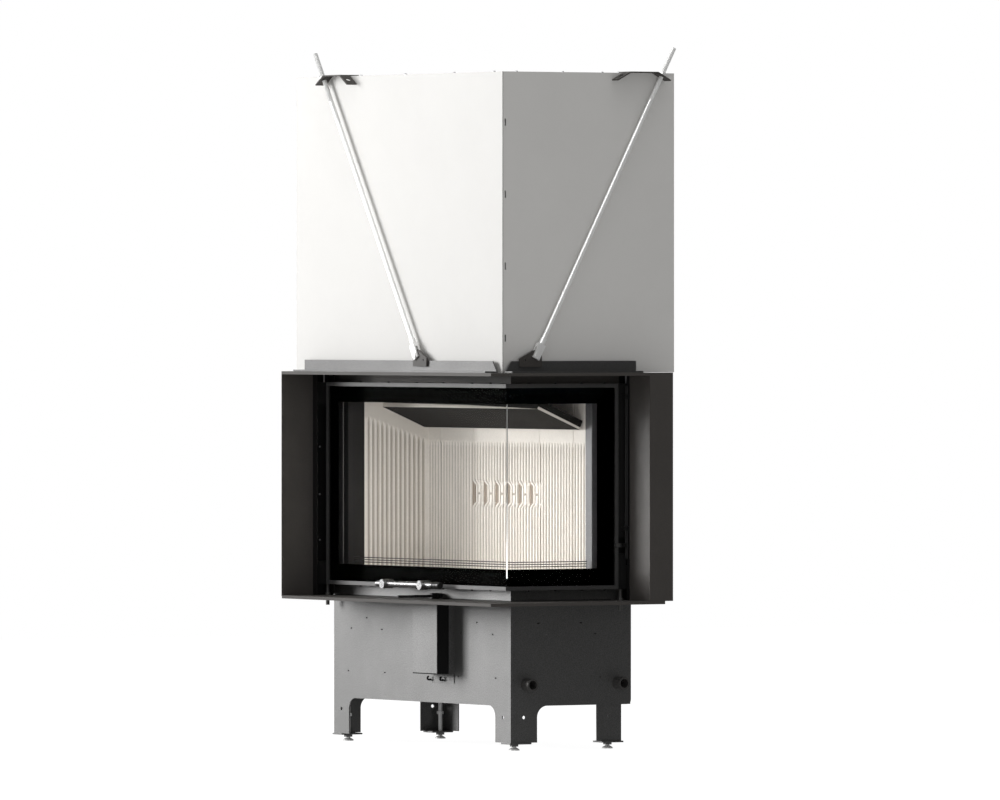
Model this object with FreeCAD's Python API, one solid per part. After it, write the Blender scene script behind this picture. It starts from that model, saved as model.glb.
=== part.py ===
import FreeCAD, Part
import math
import os

# Corner fireplace insert with a lift-up door glazed on its front and right side.
# Places are worked out in the body's corner frame, in millimetres: x runs left to right along the
# front, y from front to back and z up from the floor, with zero at the body's front right corner.
# On the front and right sides, u is the distance away from that corner and v the distance outwards.
# At the end every piece is moved so that the origin lies on the floor under the middle of the insert.

# Plinth of folded sheet
body_width = 874.0
plinth_rear_reach = 62.0
plinth_height = 361.0
plinth_sheet = 3.0
front_leg_width = 75.0
side_leg_width = 80.0
arch_height = 94.0
arch_radius = 30.0
panel_rear_radius = 12.0
rear_leg_flange = 75.0
rear_leg_setback = 28.0
rear_leg_lap = 30.0
leg_hole_radius = 4.5
leg_hole_rise = 65.0

# Fixing slots punched through the plinth panels
fixing_slot_length = 8.0
fixing_slot_width = 3.0
slot_top_drop = 55.0
slot_middle_drop = 84.0
slot_low_drop = 196.0
slot_group_inset = 164.0
slot_middle_reach = 77.0
slot_low_reach = 91.0
side_slot_top_centre = 148.0
side_slot_top_reach = 65.0
side_slot_middle_centre = 183.0
side_slot_middle_reach = 73.0
side_slot_low_place = 274.0

# Levelling feet
foot_inset = 27.0
foot_plate_width = 46.0
foot_plate_depth = 64.0
foot_plate_overhang = 3.0
foot_plate_sheet = 4.0
foot_nut_radius = 11.0
foot_nut_height = 6.0
foot_rod_radius = 5.5
foot_rod_length = 118.0
foot_disc_radius = 14.0
foot_disc_height = 3.0
foot_neck_height = 5.0
foot_show = 2.0
foot_lock_nut_radius = 9.0
foot_lock_nut_height = 8.0
foot_lock_nut_rise = 44.0
running_fit = 0.08

# Carrying sleeves across the plinth
sleeve_radius = 16.0
sleeve_bore = 11.5
sleeve_leg_gap = 9.0
sleeve_front_inset = 47.0
sleeve_rear_inset = 41.0
sleeve_left_stub = 50.0
sleeve_right_stub = 33.0
seat_gap = 0.1

# Combustion air inlet on the plinth's rear panel
inlet_radius = 75.0
inlet_wall = 2.0
inlet_length = 72.0
inlet_flange = 16.0
inlet_flange_sheet = 3.0
inlet_rise = 210.0

# Air linkage channel on the plinth's front
linkage_centre = 332.0
linkage_width = 119.0
linkage_depth = 54.6
linkage_cover_side = 37.0
linkage_cover_sheet = 1.5
linkage_bracket_sheet = 2.0
linkage_bracket_depth = 40.0
linkage_top_drop = 10.0
linkage_bracket_height = 205.0
linkage_cover_height = 181.0
linkage_screw_radius = 3.5
linkage_screw_head = 2.5
linkage_screw_drop = 60.0
linkage_screw_out = 9.0
linkage_screw_pitch = 88.0

# Air lever
lever_travel = 35.0
lever_hub_radius = 7.5
lever_hub_start = 4.0
lever_hub_length = 32.0
lever_rod_radius = 3.5
lever_rod_length = 100.0
lever_arm_width = 16.0
lever_arm_sheet = 4.0
lever_arm_stand = 16.0
lever_arm_length = 140.0
lever_slot_margin = 2.0
slide_gap = 0.3

# Firebox
firebox_depth = 304.0
firebox_sheet = 4.0
frame_bar = 6.0
jamb_width = 74.0
post_width = 30.0
lining_air_gap = 24.0
lining_thickness = 30.0
lining_front = 49.0
hearth_thickness = 40.0
hearth_bricks_across = 3
brick_joint = 0.6
lining_top_gap = 34.0
flute_pitch = 14.0
flute_depth = 5.0
flute_land = 2.0
rear_flute_drop = 177.0
left_flute_front_drop = 111.0
brick_width = 163.0
bricks_each_way = 2
nozzle_count = 6
nozzle_flutes_apart = 4
nozzle_radius = 3.5
nozzle_rise = 266.0
baffle_thickness = 25.0
baffle_rear_gap = 12.0
baffle_rear_drop = 142.0
baffle_run = 129.0
baffle_front_drop = 88.0
baffle_right_gap = 10.0

# Flue
flue_radius = 100.0
flue_wall = 3.0
flue_length = 190.0
flue_rear_reach = 139.0
dome_radius = 125.0
dome_height = 65.0
dome_flange = 10.0

# Door
door_rise = 31.0
door_height = 529.0
door_stand = 40.0
door_depth = 32.0
door_end_margin = 2.0
door_rail = 10.0
door_flange_width = 28.0
door_flange_sheet = 3.0
seal_lap = 28.0
seal_width = 10.0
seal_inset = 2.0
glass_thickness = 5.0
glass_setback = 2.0
header_rise = 27.0

# Door handle
handle_rise = 8.0
handle_post_inner = 313.0
handle_post_outer = 498.0
handle_post_radius = 12.0
handle_neck_radius = 7.0
handle_neck_length = 12.0
handle_post_length = 44.0
handle_bar_radius = 8.0
handle_bar_stand = 28.0
handle_bar_overhang = 45.0

# Guide rails and carriages
rail_sheet = 2.0
rail_depth = 22.0
rail_left_rear = 14.0
rail_right_proud = 6.0
rail_mouth_gap = 3.0
rail_right_depth = 20.0
rail_spare = 120.0
rail_ear_height = 20.0
rail_gap = 0.5
carriage_strip = 3.5
carriage_width = 20.0
shoe_height = 60.0
stop_bolt_radius = 5.0
stop_bolt_drop = 24.0
stop_nut_radius = 8.0
stop_nut_height = 6.0
left_stop_setback = 28.0
right_stop_reach = 14.0

# Latch on the right carriage
latch_rod_radius = 3.5
latch_stand_gap = 11.0
latch_reach = 13.0
latch_bottom_rise = 79.0
latch_top_drop = 6.0
latch_arm_rise = 113.0
latch_arm_length = 15.0
latch_arm_height = 10.0
latch_clip_height = 12.0
latch_clip_wall = 3.0
latch_clip_cap = 1.2
latch_clip_low_rise = 150.0
latch_clip_high_drop = 27.0
latch_window_height = 41.0
latch_window_depth = 18.0

# Surround frame
frame_stand = 160.0
frame_sheet = 2.0
frame_lip = 8.0
frame_flange = 10.0
left_wing_rear = 60.0
right_wing_gap = 19.0
right_wing_depth = 71.0
right_wing_latch_gap = 7.0
top_plate_lap = 10.0

# Lintel angles and their ties
lintel_housing_gap = 8.0
lintel_height = 30.0
lintel_foot = 35.0
lintel_sheet = 4.0
lintel_chamfer_run = 21.0
lintel_chamfer_rise = 28.0
lintel_corner_gap = 9.0
lintel_left_reach = 19.0
lug_sheet = 6.0
lug_tail = 50.0
lug_tail_rise = 7.0
lug_nose = 16.0
lug_top_radius = 5.0
lug_root_drop = 15.0
lug_shoulder = 10.0
lug_shoulder_rise = 13.0
lug_hole_radius = 2.5
lug_hole_reach = 35.0
lug_hole_drop = 12.0
tie_pin_rise = 14.0
tie_pin_radius = 5.0
tie_pin_head = 7.5
tie_pin_head_height = 3.0
tie_rod_radius = 6.0
tie_rod_tail = 83.0
front_tie_foot = 325.0
front_tie_inset = 104.0
right_tie_foot = 25.0
right_tie_inset = 68.0
fork_width = 20.0
fork_depth = 16.0
fork_nose = 9.0
fork_throat = 22.0
fork_length = 33.0
fork_neck_radius = 8.0
fork_neck_length = 16.0
fork_bore_start = 26.0
tie_bracket_flat = 83.0
tie_bracket_sheet = 3.0
tie_bracket_depth = 31.0
tie_bracket_back = 30.0
tie_ear_length = 44.0
tie_nut_radius = 10.5
tie_nut_height = 9.0
hole_gap = 0.5

# Lift housing
housing_wing_gap = 3.0
housing_sheet = 2.0
housing_opening_radius = 160.0
seam_slot_count = 4
seam_slot_height = 18.0
seam_slot_width = 4.0
seam_slot_inset = 5.0
seam_slot_first = 89.0
seam_slot_pitch = 184.0
lift_clearance = 40.0
pulley_top_gap = 12.0

# Pulleys, cables and counterweights
pulley_radius = 39.0
pulley_rim = 4.0
pulley_thickness = 14.0
pulley_cheek_gap = 1.0
pulley_axle_radius = 6.0
left_cable_shift = 53.0
right_cable_shift = 19.0
pulley_cheek_width = 44.0
pulley_cheek_sheet = 4.0
pulley_cheek_drop = 14.0
cable_radius = 2.5
cable_drop = 40.0
left_weight_thickness = 64.0
left_weight_side_gap = 7.0
right_weight_thickness = 78.0
right_weight_rear_gap = 2.5
weight_front_gap = 5.0
weight_height = 160.0
weight_floor_gap = 5.0
weight_eye_radius = 9.0
weight_eye_height = 15.0

# Heights that follow from those sizes
leg_bottom = foot_disc_height + foot_neck_height + foot_show + foot_nut_height + foot_plate_sheet
leg_hole_height = leg_bottom + leg_hole_rise
plinth_top = leg_bottom + plinth_height
arch_top = leg_bottom + arch_height
sleeve_height = arch_top + rear_leg_lap + sleeve_leg_gap + sleeve_radius
floor_top = plinth_top + firebox_sheet
door_bottom = plinth_top + door_rise
door_top = door_bottom + door_height
sill_top = door_bottom + seal_lap
header_bottom = door_top - seal_lap
body_top = door_top + header_rise
roof_bottom = body_top - firebox_sheet
plate_top = plinth_top + frame_sheet
housing_bottom = body_top + frame_sheet
lip_bottom = housing_bottom - frame_lip
handle_height = door_bottom + handle_rise
lift_travel = lip_bottom - lift_clearance - handle_height - handle_post_radius
weight_bottom = housing_bottom + lift_travel + weight_floor_gap
eye_top = weight_bottom + weight_height + weight_eye_height
pulley_height = eye_top + cable_drop
pulley_headroom = pulley_radius + pulley_rim + pulley_top_gap + pulley_cheek_sheet
housing_top = pulley_height + pulley_headroom + housing_sheet
rail_top = door_top + lift_travel + rail_spare

# Planes that follow from those sizes, from the front to the back
body_depth = firebox_depth + plinth_rear_reach
rear_foot_y = body_depth - rear_leg_setback - foot_inset
chamber_depth = firebox_depth - firebox_sheet - lining_thickness - lining_air_gap
flue_setback = firebox_depth - flue_rear_reach
door_side_reach = firebox_depth - door_end_margin
rail_right_mouth = door_side_reach + carriage_width + rail_mouth_gap
right_stop_setback = door_side_reach + right_stop_reach
latch_setback = door_side_reach + latch_reach
right_wing_setback = door_side_reach + right_wing_gap
top_plate_reach = right_wing_setback + top_plate_lap
bottom_plate_reach = body_depth + frame_sheet

# Planes that follow from those sizes, from the corner outwards
door_back = door_stand - door_depth
rail_right_inner = door_back
rail_right_outer = door_stand + rail_right_proud
latch_stand = rail_right_outer + latch_stand_gap
right_wing_inner = latch_stand + right_wing_latch_gap
housing_stand = right_wing_inner + housing_wing_gap
housing_inner = housing_stand - housing_sheet
rail_left_front = housing_inner
lintel_stand = housing_stand + lintel_housing_gap + lintel_sheet
tie_stand = lintel_stand + lug_sheet / 2

# Planes that follow from those sizes, from the corner to the left
body_left = -body_width
flue_x = body_left / 2
wing_left = body_left - frame_sheet
door_left = body_left + rail_depth + rail_gap + carriage_strip
chamber_left = body_left + jamb_width
wall_left = chamber_left - lining_thickness

# Cables, weights and the housing round them
left_cable_x = (body_left + rail_sheet + door_left) / 2
left_cable_y = -(rail_left_front + rail_left_rear) / 2
right_cable_x = (rail_right_inner + rail_right_outer) / 2
right_cable_y = (door_side_reach + carriage_width + rail_right_mouth + rail_right_depth) / 2
left_weight_x = left_cable_x - left_cable_shift
left_weight_y = left_cable_y + math.sqrt((2 * pulley_radius) ** 2 - left_cable_shift ** 2)
right_weight_x = right_cable_x - right_cable_shift
right_weight_y = right_cable_y + math.sqrt((2 * pulley_radius) ** 2 - right_cable_shift ** 2)
left_weight_width = 2 * (left_weight_y + housing_inner - weight_front_gap)
right_weight_width = 2 * (housing_inner - weight_front_gap - right_weight_x)
housing_left = left_weight_x - left_weight_thickness / 2 - left_weight_side_gap - housing_sheet
right_gear_depth = 2 * pulley_radius + right_weight_thickness / 2 + right_weight_rear_gap
housing_rear = right_cable_y + right_gear_depth + housing_sheet
front_tie_head = body_width - front_tie_inset
right_tie_head = housing_rear - right_tie_inset
LEFT = "left"
FRONT = "front"
RIGHT = "right"
HEXAGON_SIDES = 6
AXIS_X = FreeCAD.Vector(1, 0, 0)
AXIS_Y = FreeCAD.Vector(0, 1, 0)
AXIS_Z = FreeCAD.Vector(0, 0, 1)
ORIGIN = FreeCAD.Vector(0, 0, 0)
overall_middle = FreeCAD.Vector((housing_left + frame_stand) / 2, (housing_rear - frame_stand) / 2, 0)


def point(x, y, z):
    """A place in the corner frame."""
    return FreeCAD.Vector(x, y, z)


def box(x0, x1, y0, y1, z0, z1):
    """A block between two limits along each axis."""
    return Part.makeBox(x1 - x0, y1 - y0, z1 - z0, point(x0, y0, z0))


def side_box(side, u0, u1, v0, v1, z0, z1):
    """A block given by its distances along and out from the front or the right side."""
    if side == FRONT:
        return box(-u1, -u0, -v1, -v0, z0, z1)
    return box(v0, v1, u0, u1, z0, z1)


def on_side(shape, side):
    """Carry a piece drawn with x as u and y as v to the front or the right side."""
    if side == FRONT:
        turned = shape.copy()
        turned.rotate(ORIGIN, AXIS_Z, 180)
        return turned
    return shape.mirror(ORIGIN, point(1, -1, 0))


def left_twin(shape):
    """The left-hand copy of a piece on the body's right."""
    return shape.mirror(point(-body_width / 2, 0, 0), AXIS_X)


def rod(start, axis, radius, length):
    """A round bar."""
    return Part.makeCylinder(radius, length, start, axis)


def tube(start, axis, outer, inner, length):
    """A round bar with a bore through it."""
    return rod(start, axis, outer, length).cut(rod(start, axis, inner, length))


def join(pieces):
    """One solid welded from several that touch."""
    return pieces[0].multiFuse(pieces[1:]).removeSplitter()


def less(shape, tools):
    """A piece with cuts taken out of it."""
    return shape.cut(Part.makeCompound(tools))


def group(pieces):
    """Separate solids kept in one node."""
    return Part.makeCompound(pieces)


def sheet(corners, thickness):
    """A flat outline, each corner with its radius, carried through its thickness."""
    edges = []
    ends = []
    count = len(corners)
    for number in range(count):
        here, radius = corners[number]
        back = (corners[number - 1][0] - here).normalize()
        ahead = (corners[(number + 1) % count][0] - here).normalize()
        if radius == 0:
            ends.append((here, here))
            continue
        half = back.getAngle(ahead) / 2
        reach = radius / math.tan(half)
        middle = (back + ahead).normalize()
        bulge = here + middle * (radius / math.sin(half) - radius)
        ends.append((here + back * reach, here + ahead * reach))
        edges.append(Part.Arc(ends[number][0], bulge, ends[number][1]).toShape())
    for number in range(count):
        start = ends[number][1]
        finish = ends[(number + 1) % count][0]
        edges.append(Part.LineSegment(start, finish).toShape())
    wire = Part.Wire(Part.__sortEdges__(edges))
    return Part.Face(wire).extrude(thickness)


def plain(points):
    """Outline corners that have no radius."""
    return [(place, 0) for place in points]


def hexagon(start, axis, radius, height):
    """A six-sided nut or bolt head, its axis along the given direction."""
    places = []
    for number in range(HEXAGON_SIDES):
        angle = 2 * math.pi * number / HEXAGON_SIDES
        places.append(point(radius * math.cos(angle), radius * math.sin(angle), 0))
    prism = sheet(plain(places), AXIS_Z * height)
    prism.Placement = FreeCAD.Placement(start, FreeCAD.Rotation(AXIS_Z, axis))
    return prism


def spun(profile, centre):
    """A closed outline of radius and height pairs turned about an upright axis."""
    places = [point(radius, 0, height) for radius, height in profile]
    wire = Part.makePolygon(places + places[:1])
    turned = Part.Face(wire).revolve(ORIGIN, AXIS_Z, 360)
    turned.translate(centre)
    return turned


def save(name, shape):
    """Move a piece to the insert's own origin and write it."""
    moved = shape.copy()
    moved.translate(-overall_middle)
    moved.exportStep("parts/" + name + ".step")


# Plinth


def fixing_slot(u, height):
    """One punched slot, drawn through a side's sheet."""
    start = point(u - fixing_slot_length / 2, -plinth_sheet, height - fixing_slot_width / 2)
    return Part.makeBox(fixing_slot_length, plinth_sheet, fixing_slot_width, start)


def leg_hole(u):
    """A bolt hole through a leg, drawn through a side's sheet."""
    return rod(point(u, -plinth_sheet, leg_hole_height), AXIS_Y, leg_hole_radius, plinth_sheet)


def plinth_front_panel():
    """Front sheet with an arch between its two legs."""
    far_leg = body_width - front_leg_width
    corners = plain([point(0, 0, plinth_top), point(0, 0, leg_bottom), point(front_leg_width, 0, leg_bottom)])
    corners += [(point(front_leg_width, 0, arch_top), arch_radius)]
    corners += [(point(far_leg, 0, arch_top), arch_radius)]
    corners += plain([point(far_leg, 0, leg_bottom), point(body_width, 0, leg_bottom)])
    corners += plain([point(body_width, 0, plinth_top)])
    panel = sheet(corners, point(0, -plinth_sheet, 0))
    cuts = [leg_hole(front_leg_width / 2), leg_hole(body_width - front_leg_width / 2)]
    for centre in (slot_group_inset, body_width - slot_group_inset):
        cuts.append(fixing_slot(centre, plinth_top - slot_top_drop))
        for way in (-1, 1):
            cuts.append(fixing_slot(centre + way * slot_middle_reach, plinth_top - slot_middle_drop))
            cuts.append(fixing_slot(centre + way * slot_low_reach, plinth_top - slot_low_drop))
    return on_side(less(panel, cuts), FRONT)


def sleeve_places():
    """The y and z of each carrying sleeve."""
    return [(sleeve_front_inset, sleeve_height), (body_depth - sleeve_rear_inset, sleeve_height)]


def plinth_right_panel():
    """Right sheet with its front leg, sleeve holes and slots."""
    corners = plain([point(plinth_sheet, 0, plinth_top), point(plinth_sheet, 0, leg_bottom)])
    corners += plain([point(side_leg_width, 0, leg_bottom)])
    corners += [(point(side_leg_width, 0, arch_top), arch_radius)]
    corners += [(point(body_depth, 0, arch_top), panel_rear_radius)]
    corners += plain([point(body_depth, 0, plinth_top)])
    panel = sheet(corners, point(0, -plinth_sheet, 0))
    cuts = [leg_hole(side_leg_width / 2)]
    for way in (-1, 1):
        top_place = side_slot_top_centre + way * side_slot_top_reach
        middle_place = side_slot_middle_centre + way * side_slot_middle_reach
        cuts.append(fixing_slot(top_place, plinth_top - slot_top_drop))
        cuts.append(fixing_slot(middle_place, plinth_top - slot_middle_drop))
    cuts.append(fixing_slot(side_slot_low_place, plinth_top - slot_low_drop))
    for place, height in sleeve_places():
        start = point(place, -plinth_sheet, height)
        cuts.append(rod(start, AXIS_Y, sleeve_radius + seat_gap, plinth_sheet))
    return on_side(less(panel, cuts), RIGHT)


def plinth_rear_panel():
    """Rear sheet between the side panels, with the air inlet's hole."""
    front = body_depth - plinth_sheet
    panel = box(body_left + plinth_sheet, -plinth_sheet, front, body_depth, arch_top, plinth_top)
    start = point(flue_x, front, leg_bottom + inlet_rise)
    return less(panel, [rod(start, AXIS_Y, inlet_radius - inlet_wall, plinth_sheet)])


def rear_leg():
    """Right rear angle leg, lapped inside the right panel."""
    outer = -plinth_sheet
    back = body_depth - rear_leg_setback
    top = arch_top + rear_leg_lap
    side_flange = box(outer - plinth_sheet, outer, back - rear_leg_flange, back, leg_bottom, top)
    back_flange = box(outer - rear_leg_flange, outer, back - plinth_sheet, back, leg_bottom, top)
    hole_start = point(outer - plinth_sheet, back - rear_leg_flange / 2, leg_hole_height)
    hole = rod(hole_start, AXIS_X, leg_hole_radius, plinth_sheet)
    return less(join([side_flange, back_flange]), [hole])


def foot_places():
    """The x and y of each levelling foot, by name."""
    left = body_left + foot_inset
    right = -foot_inset
    return {
        "front_left": (left, foot_inset),
        "front_right": (right, foot_inset),
        "rear_left": (left, rear_foot_y),
        "rear_right": (right, rear_foot_y),
    }


def foot_plate(x, y):
    """Plate under a leg, a little proud of its faces, with a nut welded under it."""
    if x < flue_x:
        left = body_left - foot_plate_overhang
    else:
        left = foot_plate_overhang - foot_plate_width
    if y < body_depth / 2:
        front = -foot_plate_overhang
    else:
        front = body_depth - rear_leg_setback + foot_plate_overhang - foot_plate_depth
    low = leg_bottom - foot_plate_sheet
    plate = box(left, left + foot_plate_width, front, front + foot_plate_depth, low, leg_bottom)
    nut_start = point(x, y, low - foot_nut_height)
    nut = hexagon(nut_start, AXIS_Z, foot_nut_radius, foot_nut_height)
    bore = rod(nut_start, AXIS_Z, foot_rod_radius + running_fit, foot_plate_sheet + foot_nut_height)
    return less(join([plate, nut]), [bore])


def levelling_foot(x, y):
    """Screwed foot: a disc, a cone, a rod that runs up through the plate and a lock nut on it."""
    cone_top = foot_disc_height + foot_neck_height
    profile = [(0, 0), (foot_disc_radius, 0), (foot_disc_radius, foot_disc_height)]
    profile += [(foot_rod_radius, cone_top), (foot_rod_radius, foot_rod_length), (0, foot_rod_length)]
    foot = spun(profile, point(x, y, 0))
    nut_start = point(x, y, leg_bottom + foot_lock_nut_rise)
    nut = hexagon(nut_start, AXIS_Z, foot_lock_nut_radius, foot_lock_nut_height)
    return join([foot, nut])


def carrying_sleeves():
    """Two open tubes across the plinth for carrying bars."""
    start = body_left - sleeve_left_stub
    length = body_width + sleeve_left_stub + sleeve_right_stub
    tubes = []
    for y, z in sleeve_places():
        tubes.append(tube(point(start, y, z), AXIS_X, sleeve_radius, sleeve_bore, length))
    return group(tubes)


def air_inlet_collar():
    """Round spigot with a flange on the plinth's rear panel."""
    start = point(flue_x, body_depth, leg_bottom + inlet_rise)
    bore = inlet_radius - inlet_wall
    spigot = tube(start, AXIS_Y, inlet_radius, bore, inlet_length)
    flange = tube(start, AXIS_Y, inlet_radius + inlet_flange, bore, inlet_flange_sheet)
    return join([flange, spigot])


# Air linkage and lever


def linkage_screw_heights():
    """Heights of the two screws on the linkage bracket."""
    first = plinth_top - linkage_top_drop - linkage_screw_drop
    return [first, first - linkage_screw_pitch]


def linkage_bracket():
    """Fixed channel on the plinth's front, its side walls inside the cover, with two side screws."""
    top = plinth_top - linkage_top_drop
    low = top - linkage_bracket_height
    near = linkage_centre - linkage_width / 2 + linkage_cover_sheet
    far = linkage_centre + linkage_width / 2 - linkage_cover_sheet
    wall = linkage_bracket_sheet
    back = side_box(FRONT, near, far, 0, wall, low, top)
    wall_low = top - linkage_cover_height
    near_wall = side_box(FRONT, near, near + wall, wall, linkage_bracket_depth, wall_low, top)
    far_wall = side_box(FRONT, far - wall, far, wall, linkage_bracket_depth, wall_low, top)
    pieces = [back, near_wall, far_wall]
    for height in linkage_screw_heights():
        start = point(-near, -linkage_screw_out, height)
        pieces.append(rod(start, AXIS_X, linkage_screw_radius, linkage_screw_head))
    return join(pieces)


def linkage_cover():
    """Removable folded cover over the linkage."""
    top = plinth_top - linkage_top_drop
    low = top - linkage_cover_height
    near = linkage_centre - linkage_width / 2
    far = linkage_centre + linkage_width / 2
    wall = linkage_cover_sheet
    side_start = linkage_depth - linkage_cover_side
    face = side_box(FRONT, near, far, linkage_depth - wall, linkage_depth, low, top)
    near_side = side_box(FRONT, near, near + wall, side_start, linkage_depth - wall, low, top)
    far_side = side_box(FRONT, far - wall, far, side_start, linkage_depth - wall, low, top)
    return join([face, near_side, far_side])


def air_lever():
    """Lever over the sill plate with a drop arm down into the linkage channel."""
    axis_height = plate_top + lever_hub_radius + slide_gap
    out = point(0, -1, 0)
    hub = rod(point(-linkage_centre, -lever_hub_start, axis_height), out, lever_hub_radius, lever_hub_length)
    rod_start = lever_hub_start + lever_hub_length
    grip = rod(point(-linkage_centre, -rod_start, axis_height), out, lever_rod_radius, lever_rod_length)
    near = linkage_centre - lever_arm_width / 2
    far = linkage_centre + lever_arm_width / 2
    low = axis_height - lever_arm_length
    arm_out = lever_arm_stand + lever_arm_sheet
    arm = side_box(FRONT, near, far, lever_arm_stand, arm_out, low, axis_height)
    foot_start = linkage_bracket_sheet + slide_gap
    foot = side_box(FRONT, near, far, foot_start, lever_arm_stand, low, low + lever_arm_sheet)
    return join([hub, grip, arm, foot])


# Firebox


def firebox_floor():
    """Floor plate on the plinth's top edges."""
    return box(body_left, 0, 0, firebox_depth, plinth_top, floor_top)


def jamb_lip(low, high):
    """Lip from the left jamb forward to the guide rail, which closes the slit beside the door."""
    return box(body_left, body_left + firebox_sheet, rail_gap - rail_left_rear, 0, low, high)


def door_bar(low, high):
    """L-shaped bar round the front and the whole right side that the door seals on."""
    front = side_box(FRONT, 0, body_width, -frame_bar, 0, low, high)
    side = side_box(RIGHT, frame_bar, body_depth, -frame_bar, 0, low, high)
    return join([front, side, jamb_lip(low, high)])


def door_sill():
    """Lower door bar, its right end standing on the plinth behind the floor plate."""
    tail = side_box(RIGHT, firebox_depth, body_depth, -frame_bar, 0, plinth_top, floor_top)
    return join([door_bar(floor_top, sill_top), tail])


def firebox_left_wall():
    """Left wall with the sealing jamb, the jamb's lip and its return towards the lining."""
    jamb = box(body_left, chamber_left, 0, frame_bar, sill_top, header_bottom)
    lip = jamb_lip(sill_top, header_bottom)
    inner = chamber_left - firebox_sheet
    turn = box(inner, chamber_left, frame_bar, lining_front, sill_top, header_bottom)
    rear = firebox_depth - firebox_sheet
    wall = box(wall_left - firebox_sheet, wall_left, frame_bar, rear, floor_top, roof_bottom)
    return join([jamb, lip, turn, wall])


def firebox_rear_wall():
    """Rear wall behind the lining."""
    rear = firebox_depth - firebox_sheet
    return box(wall_left - firebox_sheet, -frame_bar, rear, firebox_depth, floor_top, roof_bottom)


def firebox_right_post():
    """Post at the right rear: the sealing face of the door's end and the edge of the rear lining."""
    face = box(-frame_bar, 0, chamber_depth, door_side_reach, sill_top, header_bottom)
    front = box(-post_width, -frame_bar, chamber_depth, chamber_depth + firebox_sheet, floor_top, roof_bottom)
    return join([face, front])


def firebox_roof():
    """Roof plate with the opening under the dome."""
    plate = box(body_left, -frame_bar, frame_bar, firebox_depth, roof_bottom, body_top)
    start = point(flue_x, flue_setback, roof_bottom)
    return less(plate, [rod(start, AXIS_Z, dome_radius - flue_wall, firebox_sheet)])


def flue_collar():
    """Flanged dome that draws in to the round flue spigot."""
    dome_top = body_top + dome_height
    top = dome_top + flue_length
    flange_top = body_top + firebox_sheet
    outer = [(dome_radius + dome_flange, body_top), (dome_radius + dome_flange, flange_top)]
    outer += [(dome_radius, flange_top), (flue_radius, dome_top), (flue_radius, top)]
    inner = [(flue_radius - flue_wall, top), (flue_radius - flue_wall, dome_top)]
    inner += [(dome_radius - flue_wall, flange_top), (dome_radius - flue_wall, body_top)]
    return spun(outer + inner, point(flue_x, flue_setback, 0))


# Lining


def fluted_board(length, height, start_rise, end_rise):
    """Board with upright round flutes in its face, plain above a line between two heights.

    It is drawn with x along the board, its face at y zero and its back at the lining's thickness.
    """
    count = int((length - flute_land) / flute_pitch)
    first = (length - count * flute_pitch) / 2
    half = (flute_pitch - flute_land) / 2
    edges = []
    here = point(0, 0, 0)
    for number in range(count):
        middle = first + (number + 0.5) * flute_pitch
        start = point(middle - half, 0, 0)
        end = point(middle + half, 0, 0)
        edges.append(Part.LineSegment(here, start).toShape())
        edges.append(Part.Arc(start, point(middle, flute_depth, 0), end).toShape())
        here = end
    back = [point(length, 0, 0), point(length, lining_thickness, 0), point(0, lining_thickness, 0), ORIGIN]
    for place in back:
        edges.append(Part.LineSegment(here, place).toShape())
        here = place
    fluted = Part.Face(Part.Wire(edges)).extrude(AXIS_Z * height)
    below = plain([ORIGIN, point(length, 0, 0), point(length, 0, end_rise), point(0, 0, start_rise)])
    lower = sheet(below, AXIS_Y * lining_thickness)
    whole = Part.makeBox(length, lining_thickness, height)
    return fluted.common(lower).fuse(whole.cut(lower)).removeSplitter()


def lining_left():
    """Left lining board, its flutes ending along the baffle's slope."""
    length = chamber_depth - lining_front
    height = roof_bottom - lining_top_gap - floor_top
    front_rise = roof_bottom - left_flute_front_drop - floor_top
    rear_rise = roof_bottom - rear_flute_drop - floor_top
    board = fluted_board(length, height, front_rise, rear_rise)
    board.rotate(ORIGIN, AXIS_Z, 90)
    board.translate(point(chamber_left, lining_front, floor_top))
    return board


def lining_rear():
    """Rear lining of fluted bricks side by side, with a row of air nozzles."""
    length = -post_width - wall_left
    height = roof_bottom - lining_top_gap - floor_top
    flute_rise = roof_bottom - rear_flute_drop - floor_top
    board = fluted_board(length, height, flute_rise, flute_rise)
    centre = length - (-post_width - chamber_left) / 2
    cuts = []
    for number in range(-bricks_each_way, bricks_each_way + 1):
        start = point(centre + number * brick_width - brick_joint / 2, 0, 0)
        cuts.append(Part.makeBox(brick_joint, lining_thickness, height, start))
    pitch = nozzle_flutes_apart * flute_pitch
    for number in range(nozzle_count):
        place = centre + (number - (nozzle_count - 1) / 2) * pitch
        cuts.append(rod(point(place, 0, nozzle_rise), AXIS_Y, nozzle_radius, lining_thickness))
    bricks = less(board, cuts)
    bricks.translate(point(wall_left, chamber_depth, floor_top))
    return bricks


def hearth_bricks():
    """Floor bricks side by side between the lining and the sill."""
    width = -frame_bar - chamber_left
    top = floor_top + hearth_thickness
    slab = box(chamber_left, -frame_bar, frame_bar, chamber_depth, floor_top, top)
    cuts = []
    for number in range(1, hearth_bricks_across):
        place = chamber_left + width * number / hearth_bricks_across
        cuts.append(box(place, place + brick_joint, 0, chamber_depth, floor_top, top))
    return less(slab, cuts)


def baffle():
    """Sloping plate under the roof that turns the smoke forwards."""
    rear_y = chamber_depth - baffle_rear_gap
    rear = point(chamber_left, rear_y, roof_bottom - baffle_rear_drop)
    front = point(chamber_left, rear_y - baffle_run, roof_bottom - baffle_front_drop)
    slope = (front - rear).normalize()
    up = point(0, -slope.z, slope.y) * -baffle_thickness
    corners = plain([rear, front, front + up, rear + up])
    width = -post_width - baffle_right_gap - chamber_left
    return sheet(corners, AXIS_X * width)


# Surround frame


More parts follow.
